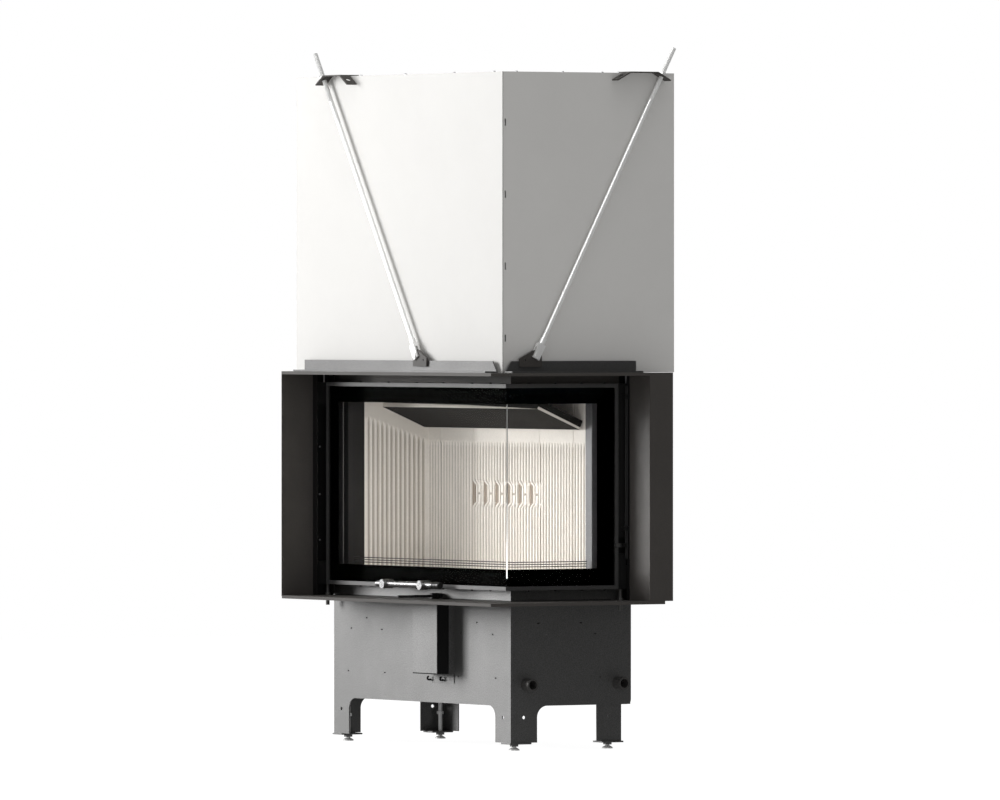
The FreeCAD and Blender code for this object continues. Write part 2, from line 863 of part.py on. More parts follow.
def surround_plate(low, inner, reach, lip_reach):
    """L-shaped plate round the corner with a down-turned lip along its front and right edges."""
    high = low + frame_sheet
    lip_low = high - frame_lip
    outer = frame_stand - frame_sheet
    front = box(wing_left, frame_stand, -frame_stand, -inner, low, high)
    side = box(inner, frame_stand, -inner, lip_reach, low, high)
    tail = box(inner, outer, -inner, reach, low, high)
    front_lip = box(body_left, frame_stand, -frame_stand, -outer, lip_low, low)
    side_lip = box(outer, frame_stand, -frame_stand, lip_reach, lip_low, low)
    return join([front, side, tail, front_lip, side_lip])


def surround_top_plate():
    """Top plate of the surround, under the housing."""
    return surround_plate(body_top, housing_stand, top_plate_reach, right_wing_setback)


def stop_bolt_places():
    """Where the bolts stand that the closed door rests on: left, then right."""
    return [point(left_cable_x, -left_stop_setback, 0), point(right_cable_x, right_stop_setback, 0)]


def surround_bottom_plate():
    """Bottom plate of the surround with the lever's slot and the stop bolts' holes."""
    flange_low = plate_top - frame_flange
    front_flange = side_box(FRONT, -frame_sheet, body_width, 0, frame_sheet, flange_low, plinth_top)
    side_flange = side_box(RIGHT, 0, body_depth, 0, frame_sheet, flange_low, plinth_top)
    plate = surround_plate(plinth_top, 0, bottom_plate_reach, bottom_plate_reach)
    plate = join([plate, front_flange, side_flange])
    reach = lever_travel + lever_arm_width / 2 + lever_slot_margin
    slot_near = lever_arm_stand - lever_slot_margin
    slot_far = lever_arm_stand + lever_arm_sheet + lever_slot_margin
    low = linkage_centre - reach
    high = linkage_centre + reach
    cuts = [side_box(FRONT, low, high, slot_near, slot_far, plinth_top, plate_top)]
    for place in stop_bolt_places():
        cuts.append(rod(place + AXIS_Z * plinth_top, AXIS_Z, stop_bolt_radius + seat_gap, frame_sheet))
    return less(plate, cuts)


def surround_left_wing():
    """Left cheek of the surround."""
    return box(wing_left, body_left, -frame_stand, -left_wing_rear, plate_top, body_top)


def surround_right_wing():
    """Right cheek: a front face beside the door and an outer side behind it."""
    face_back = right_wing_setback + frame_sheet
    face = box(right_wing_inner, frame_stand, right_wing_setback, face_back, plate_top, body_top)
    outer = frame_stand - frame_sheet
    rear = right_wing_setback + right_wing_depth
    side = box(outer, frame_stand, face_back, rear, plate_top, housing_bottom)
    return join([face, side])


# Lintel angles and ties


def lintel_angle(side, near, far):
    """Angle that carries the mantel, cut back at its corner end."""
    top = housing_bottom + lintel_height
    front_plane = lintel_stand
    corners = plain([point(near, front_plane, housing_bottom), point(far, front_plane, housing_bottom)])
    corners += plain([point(far, front_plane, top), point(near + lintel_chamfer_run, front_plane, top)])
    shoulder = housing_bottom + lintel_height - lintel_chamfer_rise
    corners += plain([point(near, front_plane, shoulder)])
    upright = sheet(corners, point(0, -lintel_sheet, 0))
    foot_start = point(near, front_plane, housing_bottom)
    foot = Part.makeBox(far - near, lintel_foot, lintel_sheet, foot_start)
    return on_side(join([upright, foot]), side)


def tie_pin_height():
    """Height of the pin that a tie's fork hangs on."""
    return housing_bottom + lintel_height + tie_pin_rise


def tie_lug(side, foot):
    """Gusset on a lintel angle for the fork's pin."""
    pin = tie_pin_height()
    top = housing_bottom + lintel_height
    root = top - lug_root_drop
    start = lintel_stand
    tail = foot - lug_tail
    nose = foot + lug_nose
    corners = plain([point(tail, start, root), point(nose, start, root), point(nose, start, pin)])
    corners += [(point(foot + lug_nose / 2, start, pin + lug_nose), lug_top_radius)]
    corners += plain([point(foot - lug_shoulder, start, pin + lug_shoulder_rise)])
    corners += [(point(tail, start, top + lug_tail_rise), lug_tail_rise / 2)]
    plate = sheet(corners, point(0, lug_sheet, 0))
    bore = rod(point(foot, start, pin), AXIS_Y, tie_pin_radius + seat_gap, lug_sheet)
    hole_place = point(foot - lug_hole_reach, start, pin - lug_hole_drop)
    hole = rod(hole_place, AXIS_Y, lug_hole_radius, lug_sheet)
    return on_side(less(plate, [bore, hole]), side)


def tie_lean(foot, head):
    """Lean of a tie from upright, so that it meets the bracket's sloping ear square at its middle."""
    run = head - foot
    rise = housing_top + tie_bracket_sheet / 2 - tie_pin_height()
    reach = math.hypot(run, rise)
    return math.acos(-tie_ear_length / 2 / reach) - math.atan2(rise, run)


def along_tie(shape, foot, head):
    """Carry a piece drawn up from the pin along z to the tie's line, in side places."""
    moved = shape.copy()
    moved.rotate(ORIGIN, AXIS_Y, math.degrees(tie_lean(foot, head)))
    moved.translate(point(foot, tie_stand, tie_pin_height()))
    return moved


def tie_ear_distance(foot, head):
    """Distance along the tie from its pin to the middle of the bracket's ear."""
    lean = tie_lean(foot, head)
    run = head + tie_ear_length / 2 * math.cos(lean) - foot
    return run / math.sin(lean)


def tie_fork(side, foot, head):
    """Fork head at the foot of a tie rod."""
    half = fork_width / 2
    deep = fork_depth / 2
    body = Part.makeBox(fork_width, fork_depth, fork_nose + fork_length, point(-half, -deep, -fork_nose))
    neck = rod(AXIS_Z * fork_length, AXIS_Z, fork_neck_radius, fork_neck_length)
    slot_half = lug_sheet / 2 + slide_gap
    slot_start = point(-half, -slot_half, -fork_nose)
    slot = Part.makeBox(fork_width, 2 * slot_half, fork_nose + fork_throat, slot_start)
    bore_length = fork_length + fork_neck_length - fork_bore_start
    bore = rod(AXIS_Z * fork_bore_start, AXIS_Z, tie_rod_radius + seat_gap, bore_length)
    eye = rod(point(0, -deep, 0), AXIS_Y, tie_pin_radius + seat_gap, fork_depth)
    fork = less(join([body, neck]), [slot, bore, eye])
    return on_side(along_tie(fork, foot, head), side)


def tie_rod(side, foot, head):
    """Diagonal rod from the fork up through the bracket's ear."""
    length = tie_ear_distance(foot, head) + tie_rod_tail - fork_bore_start
    bar = rod(AXIS_Z * fork_bore_start, AXIS_Z, tie_rod_radius, length)
    return on_side(along_tie(bar, foot, head), side)


def tie_fasteners(side, foot, head):
    """Headed pin through the fork, and the nut on the bracket's ear."""
    deep = fork_depth / 2
    pin_start = point(0, -deep - tie_pin_head_height, 0)
    shank = rod(pin_start, AXIS_Y, tie_pin_radius, fork_depth + 2 * tie_pin_head_height)
    near_head = rod(pin_start, AXIS_Y, tie_pin_head, tie_pin_head_height)
    far_head = rod(point(0, deep, 0), AXIS_Y, tie_pin_head, tie_pin_head_height)
    pin = join([shank, near_head, far_head])
    seat = tie_ear_distance(foot, head) + tie_bracket_sheet / 2
    nut = hexagon(AXIS_Z * seat, AXIS_Z, tie_nut_radius, tie_nut_height)
    nut = less(nut, [rod(AXIS_Z * seat, AXIS_Z, tie_rod_radius + seat_gap, tie_nut_height)])
    pieces = [along_tie(pin, foot, head), along_tie(nut, foot, head)]
    return [on_side(piece, side) for piece in pieces]


def tie_bracket(side, foot, head):
    """Folded strip on the housing's top edge, with an ear sloping down at each end."""
    lean = tie_lean(foot, head)
    low = housing_top
    high = housing_top + tie_bracket_sheet
    middle = (low + high) / 2
    front = housing_stand + tie_bracket_depth
    back = housing_stand - tie_bracket_back
    near = head - tie_bracket_flat
    flat = Part.makeBox(head - near, front - back, high - low, point(near, back, low))
    ear_front = housing_stand + slide_gap
    ear_depth = front - ear_front
    half = tie_bracket_sheet / 2
    far_ear = Part.makeBox(tie_ear_length, ear_depth, tie_bracket_sheet, point(0, ear_front, -half))
    far_ear.rotate(ORIGIN, AXIS_Y, math.degrees(lean))
    far_ear.translate(point(head, 0, middle))
    near_ear = far_ear.mirror(point((near + head) / 2, 0, 0), AXIS_X)
    fold = rod(point(head, ear_front, middle), AXIS_Y, half, ear_depth)
    near_fold = rod(point(near, ear_front, middle), AXIS_Y, half, ear_depth)
    hole_start = AXIS_Z * (tie_ear_distance(foot, head) - tie_ear_length / 2)
    ear_hole = rod(hole_start, AXIS_Z, tie_rod_radius + hole_gap, tie_ear_length)
    far_hole = along_tie(ear_hole, foot, head)
    near_hole = far_hole.mirror(point((near + head) / 2, 0, 0), AXIS_X)
    strip = join([flat, far_ear, near_ear, fold, near_fold])
    return on_side(less(strip, [far_hole, near_hole]), side)


# Lift housing


def housing_front_panel():
    """Front sheet of the lift housing."""
    return box(housing_left, housing_stand, -housing_stand, -housing_inner, housing_bottom, housing_top)


def housing_right_panel():
    """Right sheet of the lift housing with the seam slots beside the corner."""
    panel = box(housing_inner, housing_stand, -housing_inner, housing_rear, housing_bottom, housing_top)
    cuts = []
    start = seam_slot_inset - housing_inner
    for number in range(seam_slot_count):
        low = housing_bottom + seam_slot_first + number * seam_slot_pitch - seam_slot_height / 2
        end = start + seam_slot_width
        cuts.append(box(housing_inner, housing_stand, start, end, low, low + seam_slot_height))
    return less(panel, cuts)


def housing_left_panel():
    """Left sheet of the lift housing."""
    inner = housing_left + housing_sheet
    return box(housing_left, inner, -housing_inner, housing_rear, housing_bottom, housing_top)


def housing_rear_panel():
    """Rear sheet of the lift housing."""
    left = housing_left + housing_sheet
    return box(left, housing_inner, housing_rear - housing_sheet, housing_rear, housing_bottom, housing_top)


def housing_top_panel():
    """Top sheet of the housing with the flue's opening."""
    left = housing_left + housing_sheet
    rear = housing_rear - housing_sheet
    low = housing_top - housing_sheet
    panel = box(left, housing_inner, -housing_inner, rear, low, housing_top)
    return less(panel, [rod(point(flue_x, flue_setback, low), AXIS_Z, housing_opening_radius, housing_sheet)])


# Door


def door_frame():
    """Rails and stiles round the two panes, with the flange that carries the seal and the latch keeper."""
    pieces = []
    for low in (door_bottom, door_top - door_rail):
        high = low + door_rail
        pieces.append(box(door_left, door_stand, -door_stand, -door_back, low, high))
        pieces.append(box(door_back, door_stand, -door_back, door_side_reach, low, high))
    inner_low = door_bottom + door_rail
    inner_high = door_top - door_rail
    stile_left = -door_left - door_rail
    stile_right = door_side_reach - door_rail
    pieces.append(side_box(FRONT, stile_left, -door_left, door_back, door_stand, inner_low, inner_high))
    pieces.append(side_box(RIGHT, stile_right, door_side_reach, door_back, door_stand, inner_low, inner_high))
    flange_out = door_back + door_flange_sheet
    flange_low = inner_low + door_flange_width
    flange_high = inner_high - door_flange_width
    for low, high in ((inner_low, flange_low), (flange_high, inner_high)):
        pieces.append(box(-stile_left, flange_out, -flange_out, -door_back, low, high))
        pieces.append(box(door_back, flange_out, -door_back, stile_right, low, high))
    flange_left = stile_left - door_flange_width
    flange_right = stile_right - door_flange_width
    pieces.append(side_box(FRONT, flange_left, stile_left, door_back, flange_out, flange_low, flange_high))
    pieces.append(side_box(RIGHT, flange_right, stile_right, door_back, flange_out, flange_low, flange_high))
    keeper_out = latch_stand - latch_rod_radius - slide_gap
    keeper_middle = door_bottom + latch_arm_rise
    keeper_low = keeper_middle - latch_arm_height / 2
    keeper_high = keeper_middle + latch_arm_height / 2
    keeper = box(door_stand, keeper_out, stile_right, door_side_reach, keeper_low, keeper_high)
    return join(pieces + [keeper])


def front_glass():
    """Front pane, its right edge covering the side pane's edge."""
    outer = door_stand - glass_setback
    inner = outer - glass_thickness
    low = door_bottom + door_rail
    high = door_top - door_rail
    return box(door_left + door_rail, outer, -outer, -inner, low, high)


def side_glass():
    """Side pane, butted behind the front pane."""
    outer = door_stand - glass_setback
    inner = outer - glass_thickness
    low = door_bottom + door_rail
    high = door_top - door_rail
    return box(inner, outer, -inner, door_side_reach - door_rail, low, high)


def door_seal():
    """Rope seal round the back of the door."""
    near = slide_gap
    left = door_left + door_rail
    rear = door_side_reach - door_rail
    low = door_bottom + door_rail + seal_inset
    high = door_top - door_rail - seal_inset
    pieces = []
    for bottom in (low, high - seal_width):
        top = bottom + seal_width
        pieces.append(box(left, door_back, -door_back, -near, bottom, top))
        pieces.append(box(near, door_back, -near, rear, bottom, top))
    pieces.append(box(left, left + seal_width, -door_back, -near, low, high))
    pieces.append(box(near, door_back, rear - seal_width, rear, low, high))
    return join(pieces)


def handle_post(u):
    """One handle post with a cross hole for the bar."""
    out = point(0, -1, 0)
    neck = rod(point(-u, -door_stand, handle_height), out, handle_neck_radius, handle_neck_length)
    head_start = door_stand + handle_neck_length
    head_length = handle_post_length - handle_neck_length
    head = rod(point(-u, -head_start, handle_height), out, handle_post_radius, head_length)
    bar_start = point(-u - handle_post_radius, -door_stand - handle_bar_stand, handle_height)
    bore = rod(bar_start, AXIS_X, handle_bar_radius + seat_gap, 2 * handle_post_radius)
    return less(join([neck, head]), [bore])


def handle_bar():
    """Round bar through both handle posts."""
    start = -handle_post_outer - handle_bar_overhang
    length = handle_post_outer - handle_post_inner + 2 * handle_bar_overhang
    return rod(point(start, -door_stand - handle_bar_stand, handle_height), AXIS_X, handle_bar_radius, length)


def shoe_spans():
    """Bottom and top height of each guide shoe on a carriage."""
    return [(door_bottom, door_bottom + shoe_height), (door_top - shoe_height, door_top)]


def left_carriage():
    """Strip on the door's left stile with two shoes in the left rail."""
    strip_left = door_left - carriage_strip
    strip = box(strip_left, door_left, -door_stand, -rail_left_rear, door_bottom, door_top)
    shoe_left = body_left + rail_sheet + rail_gap
    shoe_front = -rail_left_front + rail_sheet + rail_gap
    shoe_rear = -rail_left_rear - rail_sheet - rail_gap
    pieces = [strip]
    for low, high in shoe_spans():
        pieces.append(box(shoe_left, strip_left, shoe_front, shoe_rear, low, high))
    return join(pieces)


def latch_heights():
    """Low and high end of each clip that holds the latch rod."""
    low = door_bottom + latch_clip_low_rise
    high = door_top - latch_clip_high_drop
    return [(low, low + latch_clip_height), (high - latch_clip_height, high)]


def right_carriage():
    """Bar on the door's right end with two shoes in the right rail, the latch window and two clips."""
    bar_end = door_side_reach + carriage_width
    inner = rail_right_inner + rail_sheet
    outer = rail_right_outer - rail_sheet
    bar = box(inner, outer, door_side_reach, bar_end, door_bottom, door_top)
    window_middle = door_bottom + latch_arm_rise
    window_low = window_middle - latch_window_height / 2
    window_high = window_middle + latch_window_height / 2
    window = box(outer - latch_window_depth, outer, door_side_reach, bar_end, window_low, window_high)
    pieces = [bar.cut(window)]
    shoe_end = rail_right_mouth + rail_right_depth - rail_sheet - rail_gap
    for low, high in shoe_spans():
        pieces.append(box(inner + rail_gap, outer - rail_gap, bar_end, shoe_end, low, high))
    clip_half = latch_rod_radius + latch_clip_wall
    clip_end = latch_stand + latch_rod_radius + latch_clip_cap
    for low, high in latch_heights():
        pieces.append(box(outer, clip_end, latch_setback - clip_half, latch_setback + clip_half, low, high))
    carriage = join(pieces)
    start = point(latch_stand, latch_setback, door_bottom)
    return less(carriage, [rod(start, AXIS_Z, latch_rod_radius + running_fit, door_height)])


def latch_rod():
    """Upright latch rod with its arm in front of the door's keeper."""
    start = point(latch_stand, latch_setback, door_bottom + latch_bottom_rise)
    length = door_height - latch_bottom_rise - latch_top_drop
    shank = rod(start, AXIS_Z, latch_rod_radius, length)
    middle = door_bottom + latch_arm_rise
    arm_low = middle - latch_arm_height / 2
    arm_high = middle + latch_arm_height / 2
    left = latch_stand - latch_rod_radius
    right = latch_stand + latch_rod_radius
    arm = box(left, right, latch_setback - latch_arm_length, latch_setback, arm_low, arm_high)
    return join([shank, arm])


# Rails, pulleys, cables and counterweights


def left_rail():
    """Channel behind the left wing, open towards the door."""
    back = body_left + rail_sheet
    mouth = back + rail_depth - rail_sheet
    front = -rail_left_front
    rear = -rail_left_rear
    web = box(body_left, back, front, rear, plate_top, rail_top)
    near = box(back, mouth, front, front + rail_sheet, plate_top, rail_top)
    far = box(back, mouth, rear - rail_sheet, rear, plate_top, rail_top)
    return join([web, near, far])


def right_rail():
    """Channel beside the right wing, open towards the door, with an ear to the housing."""
    rear = rail_right_mouth + rail_right_depth
    web_front = rear - rail_sheet
    web = box(rail_right_inner, rail_right_outer, web_front, rear, plate_top, rail_top)
    near_end = rail_right_inner + rail_sheet
    near = box(rail_right_inner, near_end, rail_right_mouth, web_front, plate_top, rail_top)
    far_start = rail_right_outer - rail_sheet
    far = box(far_start, rail_right_outer, rail_right_mouth, web_front, plate_top, rail_top)
    ear = box(rail_right_outer, housing_inner, web_front, rear, rail_top - rail_ear_height, rail_top)
    return join([web, near, far, ear])


def door_stop_bolts():
    """Adjusting bolts through the bottom plate that the closed door rests on, each with its nut."""
    bolts = []
    low = plinth_top - stop_bolt_drop
    length = door_bottom - slide_gap - low
    for place in stop_bolt_places():
        shank = rod(place + AXIS_Z * low, AXIS_Z, stop_bolt_radius, length)
        nut = hexagon(place + AXIS_Z * plate_top, AXIS_Z, stop_nut_radius, stop_nut_height)
        bolts.append(join([shank, nut]))
    return group(bolts)


def cable_feet(hand):
    """Places in plan of one side's door cable and weight cable."""
    if hand == LEFT:
        return point(left_cable_x, left_cable_y, 0), point(left_weight_x, left_weight_y, 0)
    return point(right_cable_x, right_cable_y, 0), point(right_weight_x, right_weight_y, 0)


def across(shape, hand):
    """Carry a piece drawn about the x axis to a pulley's centre, its axis square to the cable's turn."""
    door_side, weight_side = cable_feet(hand)
    turn = weight_side - door_side
    moved = shape.copy()
    moved.rotate(ORIGIN, AXIS_Z, math.degrees(math.atan2(-turn.x, turn.y)))
    moved.translate((door_side + weight_side) / 2 + AXIS_Z * pulley_height)
    return moved


def pulley(hand):
    """Grooved wheel for a lift cable."""
    half = pulley_thickness / 2
    groove = cable_radius + slide_gap
    bore = pulley_axle_radius + running_fit
    rim = pulley_radius + pulley_rim
    floor = pulley_radius - cable_radius - slide_gap
    profile = [(bore, -half), (rim, -half), (rim, -groove), (floor, -groove)]
    profile += [(floor, groove), (rim, groove), (rim, half), (bore, half)]
    wheel = spun(profile, ORIGIN)
    wheel.rotate(ORIGIN, AXIS_Y, 90)
    return across(wheel, hand)


def pulley_bracket(hand):
    """Hanger under the housing's top with two cheeks and the pulley's axle."""
    half = pulley_thickness / 2 + pulley_cheek_gap
    outer = half + pulley_cheek_sheet
    side = pulley_cheek_width / 2
    top = pulley_headroom
    low_cheek = box(-outer, -half, -side, side, -pulley_cheek_drop, top)
    high_cheek = box(half, outer, -side, side, -pulley_cheek_drop, top)
    bridge = box(-half, half, -side, side, top - pulley_cheek_sheet, top)
    axle = rod(point(-outer, 0, 0), AXIS_X, pulley_axle_radius, 2 * outer)
    return across(join([low_cheek, high_cheek, bridge, axle]), hand)


def lift_cable(hand):
    """Cable from a carriage up over its pulley and down to the weight."""
    door_side, weight_side = cable_feet(hand)
    middle = (door_side + weight_side) / 2
    start = door_side + AXIS_Z * door_top
    rise = door_side + AXIS_Z * pulley_height
    crown = middle + AXIS_Z * (pulley_height + pulley_radius)
    fall = weight_side + AXIS_Z * pulley_height
    end = weight_side + AXIS_Z * eye_top
    up_run = Part.LineSegment(start, rise).toShape()
    over = Part.Arc(rise, crown, fall).toShape()
    down_run = Part.LineSegment(fall, end).toShape()
    path = Part.Wire([up_run, over, down_run])
    section = Part.Wire([Part.makeCircle(cable_radius, start, AXIS_Z)])
    return path.makePipeShell([section], True, False)


def counterweight(hand):
    """Iron block with an eye, hung on a lift cable."""
    place = cable_feet(hand)[1]
    half_x = left_weight_thickness / 2
    half_y = left_weight_width / 2
    if hand == RIGHT:
        half_x = right_weight_width / 2
        half_y = right_weight_thickness / 2
    top = weight_bottom + weight_height
    block = box(place.x - half_x, place.x + half_x, place.y - half_y, place.y + half_y, weight_bottom, top)
    eye = rod(place + AXIS_Z * top, AXIS_Z, weight_eye_radius, weight_eye_height)
    return join([block, eye])


# All pieces


def write_plinth():
    """Write the plinth, its feet and the air linkage."""
    save("plinth_front_panel", plinth_front_panel())
    right_panel = plinth_right_panel()
    save("plinth_right_panel", right_panel)
    save("plinth_left_panel", left_twin(right_panel))
    save("plinth_rear_panel", plinth_rear_panel())
    leg = rear_leg()
    save("rear_legs", group([leg, left_twin(leg)]))
    save("foot_plates", group([foot_plate(x, y) for x, y in foot_places().values()]))
    for name, (x, y) in foot_places().items():
        save("levelling_foot_" + name, levelling_foot(x, y))
    save("carrying_sleeves", carrying_sleeves())
    save("air_inlet_collar", air_inlet_collar())
    save("linkage_bracket", linkage_bracket())
    save("linkage_cover", linkage_cover())
    save("air_lever", air_lever())


def write_firebox():
    """Write the firebox, its lining and the flue collar."""
    save("firebox_floor", firebox_floor())
    save("firebox_left_wall", firebox_left_wall())
    save("firebox_rear_wall", firebox_rear_wall())
    save("firebox_right_post", firebox_right_post())
    save("firebox_roof", firebox_roof())
    save("flue_collar", flue_collar())
    save("door_sill", door_sill())
    save("door_header", door_bar(header_bottom, body_top))
    save("lining_left", lining_left())
    save("lining_rear", lining_rear())
    save("hearth_bricks", hearth_bricks())
    save("baffle", baffle())


def write_surround():
    """Write the surround frame, the lintel angles and their ties."""
    save("surround_top_plate", surround_top_plate())
    save("surround_bottom_plate", surround_bottom_plate())
    save("surround_left_wing", surround_left_wing())
    save("surround_right_wing", surround_right_wing())
    front_end = body_width + lintel_left_reach
    save("lintel_angle_front", lintel_angle(FRONT, lintel_corner_gap - housing_stand, front_end))
    save("lintel_angle_right", lintel_angle(RIGHT, -housing_stand, top_plate_reach))
    ties = [(FRONT, front_tie_foot, front_tie_head), (RIGHT, right_tie_foot, right_tie_head)]
    save("tie_lugs", group([tie_lug(side, foot) for side, foot, head in ties]))
    save("tie_forks", group([tie_fork(*tie) for tie in ties]))
    save("tie_rods", group([tie_rod(*tie) for tie in ties]))
    save("tie_fasteners", group(tie_fasteners(*ties[0]) + tie_fasteners(*ties[1])))
    save("tie_brackets", group([tie_bracket(*tie) for tie in ties]))


def write_housing():
    """Write the lift housing and the lift gear in it."""
    save("housing_front_panel", housing_front_panel())
    save("housing_right_panel", housing_right_panel())
    save("housing_left_panel", housing_left_panel())
    save("housing_rear_panel", housing_rear_panel())
    save("housing_top_panel", housing_top_panel())
    save("guide_rails", group([left_rail(), right_rail()]))
    save("door_stop_bolts", door_stop_bolts())
    save("pulley_brackets", group([pulley_bracket(LEFT), pulley_bracket(RIGHT)]))
    save("lift_cables", group([lift_cable(LEFT), lift_cable(RIGHT)]))
    for hand in (LEFT, RIGHT):
        save("pulley_" + hand, pulley(hand))
        save("counterweight_" + hand, counterweight(hand))


def write_door():
    """Write the door, its handle, carriages and latch."""
    save("door_frame", door_frame())
    save("front_glass", front_glass())
    save("side_glass", side_glass())
    save("door_seal", door_seal())
    save("handle_posts", group([handle_post(handle_post_inner), handle_post(handle_post_outer)]))
    save("handle_bar", handle_bar())
    save("door_carriages", group([left_carriage(), right_carriage()]))
    save("latch_rod", latch_rod())


os.makedirs("parts", exist_ok=True)
write_plinth()
write_firebox()
write_surround()
write_housing()
write_door()
print("lift travel", round(lift_travel, 3), "housing top", round(housing_top, 3))
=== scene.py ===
"""Looks of a corner fireplace insert with a lift-up two-sided glass door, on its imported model."""

import logging
import math
from dataclasses import dataclass, field
from enum import Enum

import bpy
import numpy as np
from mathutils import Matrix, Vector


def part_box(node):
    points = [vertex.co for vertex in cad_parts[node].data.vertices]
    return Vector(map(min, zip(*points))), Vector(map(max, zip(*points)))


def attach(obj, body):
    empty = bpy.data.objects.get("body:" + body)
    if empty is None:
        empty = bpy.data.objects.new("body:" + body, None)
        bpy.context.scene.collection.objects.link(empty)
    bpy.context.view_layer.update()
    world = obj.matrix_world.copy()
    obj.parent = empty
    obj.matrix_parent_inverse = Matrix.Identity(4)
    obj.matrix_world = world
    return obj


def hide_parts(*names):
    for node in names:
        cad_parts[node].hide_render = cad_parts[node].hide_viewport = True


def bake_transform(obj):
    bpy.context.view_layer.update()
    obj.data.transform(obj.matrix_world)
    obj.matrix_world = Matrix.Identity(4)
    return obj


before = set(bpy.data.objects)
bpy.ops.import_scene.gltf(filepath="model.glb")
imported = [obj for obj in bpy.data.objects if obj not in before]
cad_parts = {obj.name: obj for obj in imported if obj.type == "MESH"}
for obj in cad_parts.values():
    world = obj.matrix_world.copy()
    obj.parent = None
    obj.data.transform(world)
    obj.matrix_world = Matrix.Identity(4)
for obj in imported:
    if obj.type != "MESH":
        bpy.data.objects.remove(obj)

LOG = logging.getLogger("fireplace_insert")
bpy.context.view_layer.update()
MM = 0.001

Colour = tuple[float, float, float]
Vec = tuple[float, float, float]
Piece = bpy.types.Object
Material = bpy.types.Material
Tree = bpy.types.NodeTree
Node = bpy.types.Node
Socket = bpy.types.NodeSocket
FLOAT_SOCKET = "NodeSocketFloat"

# Place of the body's front right corner in the shared frame, in millimetres
CORNER_X = 397.0
CORNER_Y = -147.5
UP: Vec = (0.0, 0.0, 1.0)
DOWN: Vec = (0.0, 0.0, -1.0)

# Faces that meet at fewer degrees are shaded smooth, and an axis with a larger rise counts as upright
SMOOTH_ANGLE = 38.0
UPRIGHT = 0.9

# Points round a wire and a screw head, and steps in a bend and in a head's dome
WIRE_SIDES = 10
HEAD_SIDES = 14
BEND_STEPS = 7
DOME_STEPS = 6

# Socket and core of a screw head as shares of its radius, and the socket's floor as a share of its height
SOCKET_SHARE = 0.45
CORE_SHARE = 0.2
FLOOR_SHARE = 0.35

# Spans of a noise that becomes a tone, and of a tone that becomes a gloss
NOISE_SPAN = (0.3, 0.7)
TONE_SPAN = (0.85, 1.15)

# Looks that all finishes share
CLOUD_SCALE = 7.0
SCUFF_GAIN = 2.2
SCUFF_LIFT = 0.02
DUST_COLOUR: Colour = (0.46, 0.44, 0.41)
# Share of a finish's painted glow left above the heights where it fades
PAINTED_GLOW_LEFT = 0.05
BRAID_DISTORTION = 2.0
PIT_REACH = 0.8


class Body(Enum):
    """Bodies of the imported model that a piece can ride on."""

    STAND = "stand"
    DOOR = "door"
    LEFT_WEIGHT = "left_weight"
    RIGHT_WEIGHT = "right_weight"


class Side(Enum):
    """The two glazed sides of the insert."""

    FRONT = "front"
    RIGHT = "right"


class Grain(Enum):
    """How a finish varies over its surface."""

    FINE = "fine"
    BRUSHED = "brushed"
    CAST = "cast"
    BRAID = "braid"


# Places and meshes


def place(x: float, y: float, z: float) -> np.ndarray:
    """Carry a place in the body's corner frame to the shared frame.

    Args:
        x: Millimetres to the right of the body's front right corner.
        y: Millimetres behind that corner.
        z: Millimetres above the floor.

    Returns:
        The place in metres.
    """
    return np.array([x + CORNER_X, y + CORNER_Y, z]) * MM


def places(points: np.ndarray) -> np.ndarray:
    """Carry an array of corner-frame places in millimetres to metres in the shared frame."""
    return (np.asarray(points, float) + np.array([CORNER_X, CORNER_Y, 0.0])) * MM


def upright_row(x: float, y: float, heights: tuple[float, ...]) -> np.ndarray:
    """Corner-frame places above one another, one at each height."""
    return np.stack(np.broadcast_arrays(x, y, np.array(heights)), axis=-1)


def unit(arrows: np.ndarray) -> np.ndarray:
    """The same directions with length one."""
    return arrows / np.linalg.norm(arrows, axis=-1, keepdims=True)


def side_place(side: Side, along: np.ndarray, out: np.ndarray, height: np.ndarray) -> np.ndarray:
    """Turn distances along and out from a glazed side into corner-frame places.

    Args:
        side: The glazed side.
        along: Distances away from the body's front right corner, in millimetres.
        out: Distances outwards from that side's body plane.
        height: Heights above the floor.

    Returns:
        An array of places whose last axis is x, y and z.
    """
    along, out, height = np.broadcast_arrays(along, out, height)
    if side is Side.FRONT:
        return np.stack([-along, -out, height], axis=-1).astype(float)
    return np.stack([out, along, height], axis=-1).astype(float)


def grid_faces(rows: int, columns: int, wrap_rows: bool = False, wrap_columns: bool = False) -> np.ndarray:
    """Quads that join the neighbours of a grid of points.

    Args:
        rows: Number of rows of points.
        columns: Number of points in a row.
        wrap_rows: Whether the last row joins the first.
        wrap_columns: Whether the last point of a row joins its first.

    Returns:
        An array of four point numbers for each face.
    """
    row = np.arange(rows if wrap_rows else rows - 1)[:, None]
    column = np.arange(columns if wrap_columns else columns - 1)[None, :]
    next_row = (row + 1) % rows
    next_column = (column + 1) % columns
    corners = [row * columns + column, row * columns + next_column]
    corners += [next_row * columns + next_column, next_row * columns + column]
    return np.stack([np.broadcast_to(c, (row.size, column.size)) for c in corners], axis=-1).reshape(-1, 4)


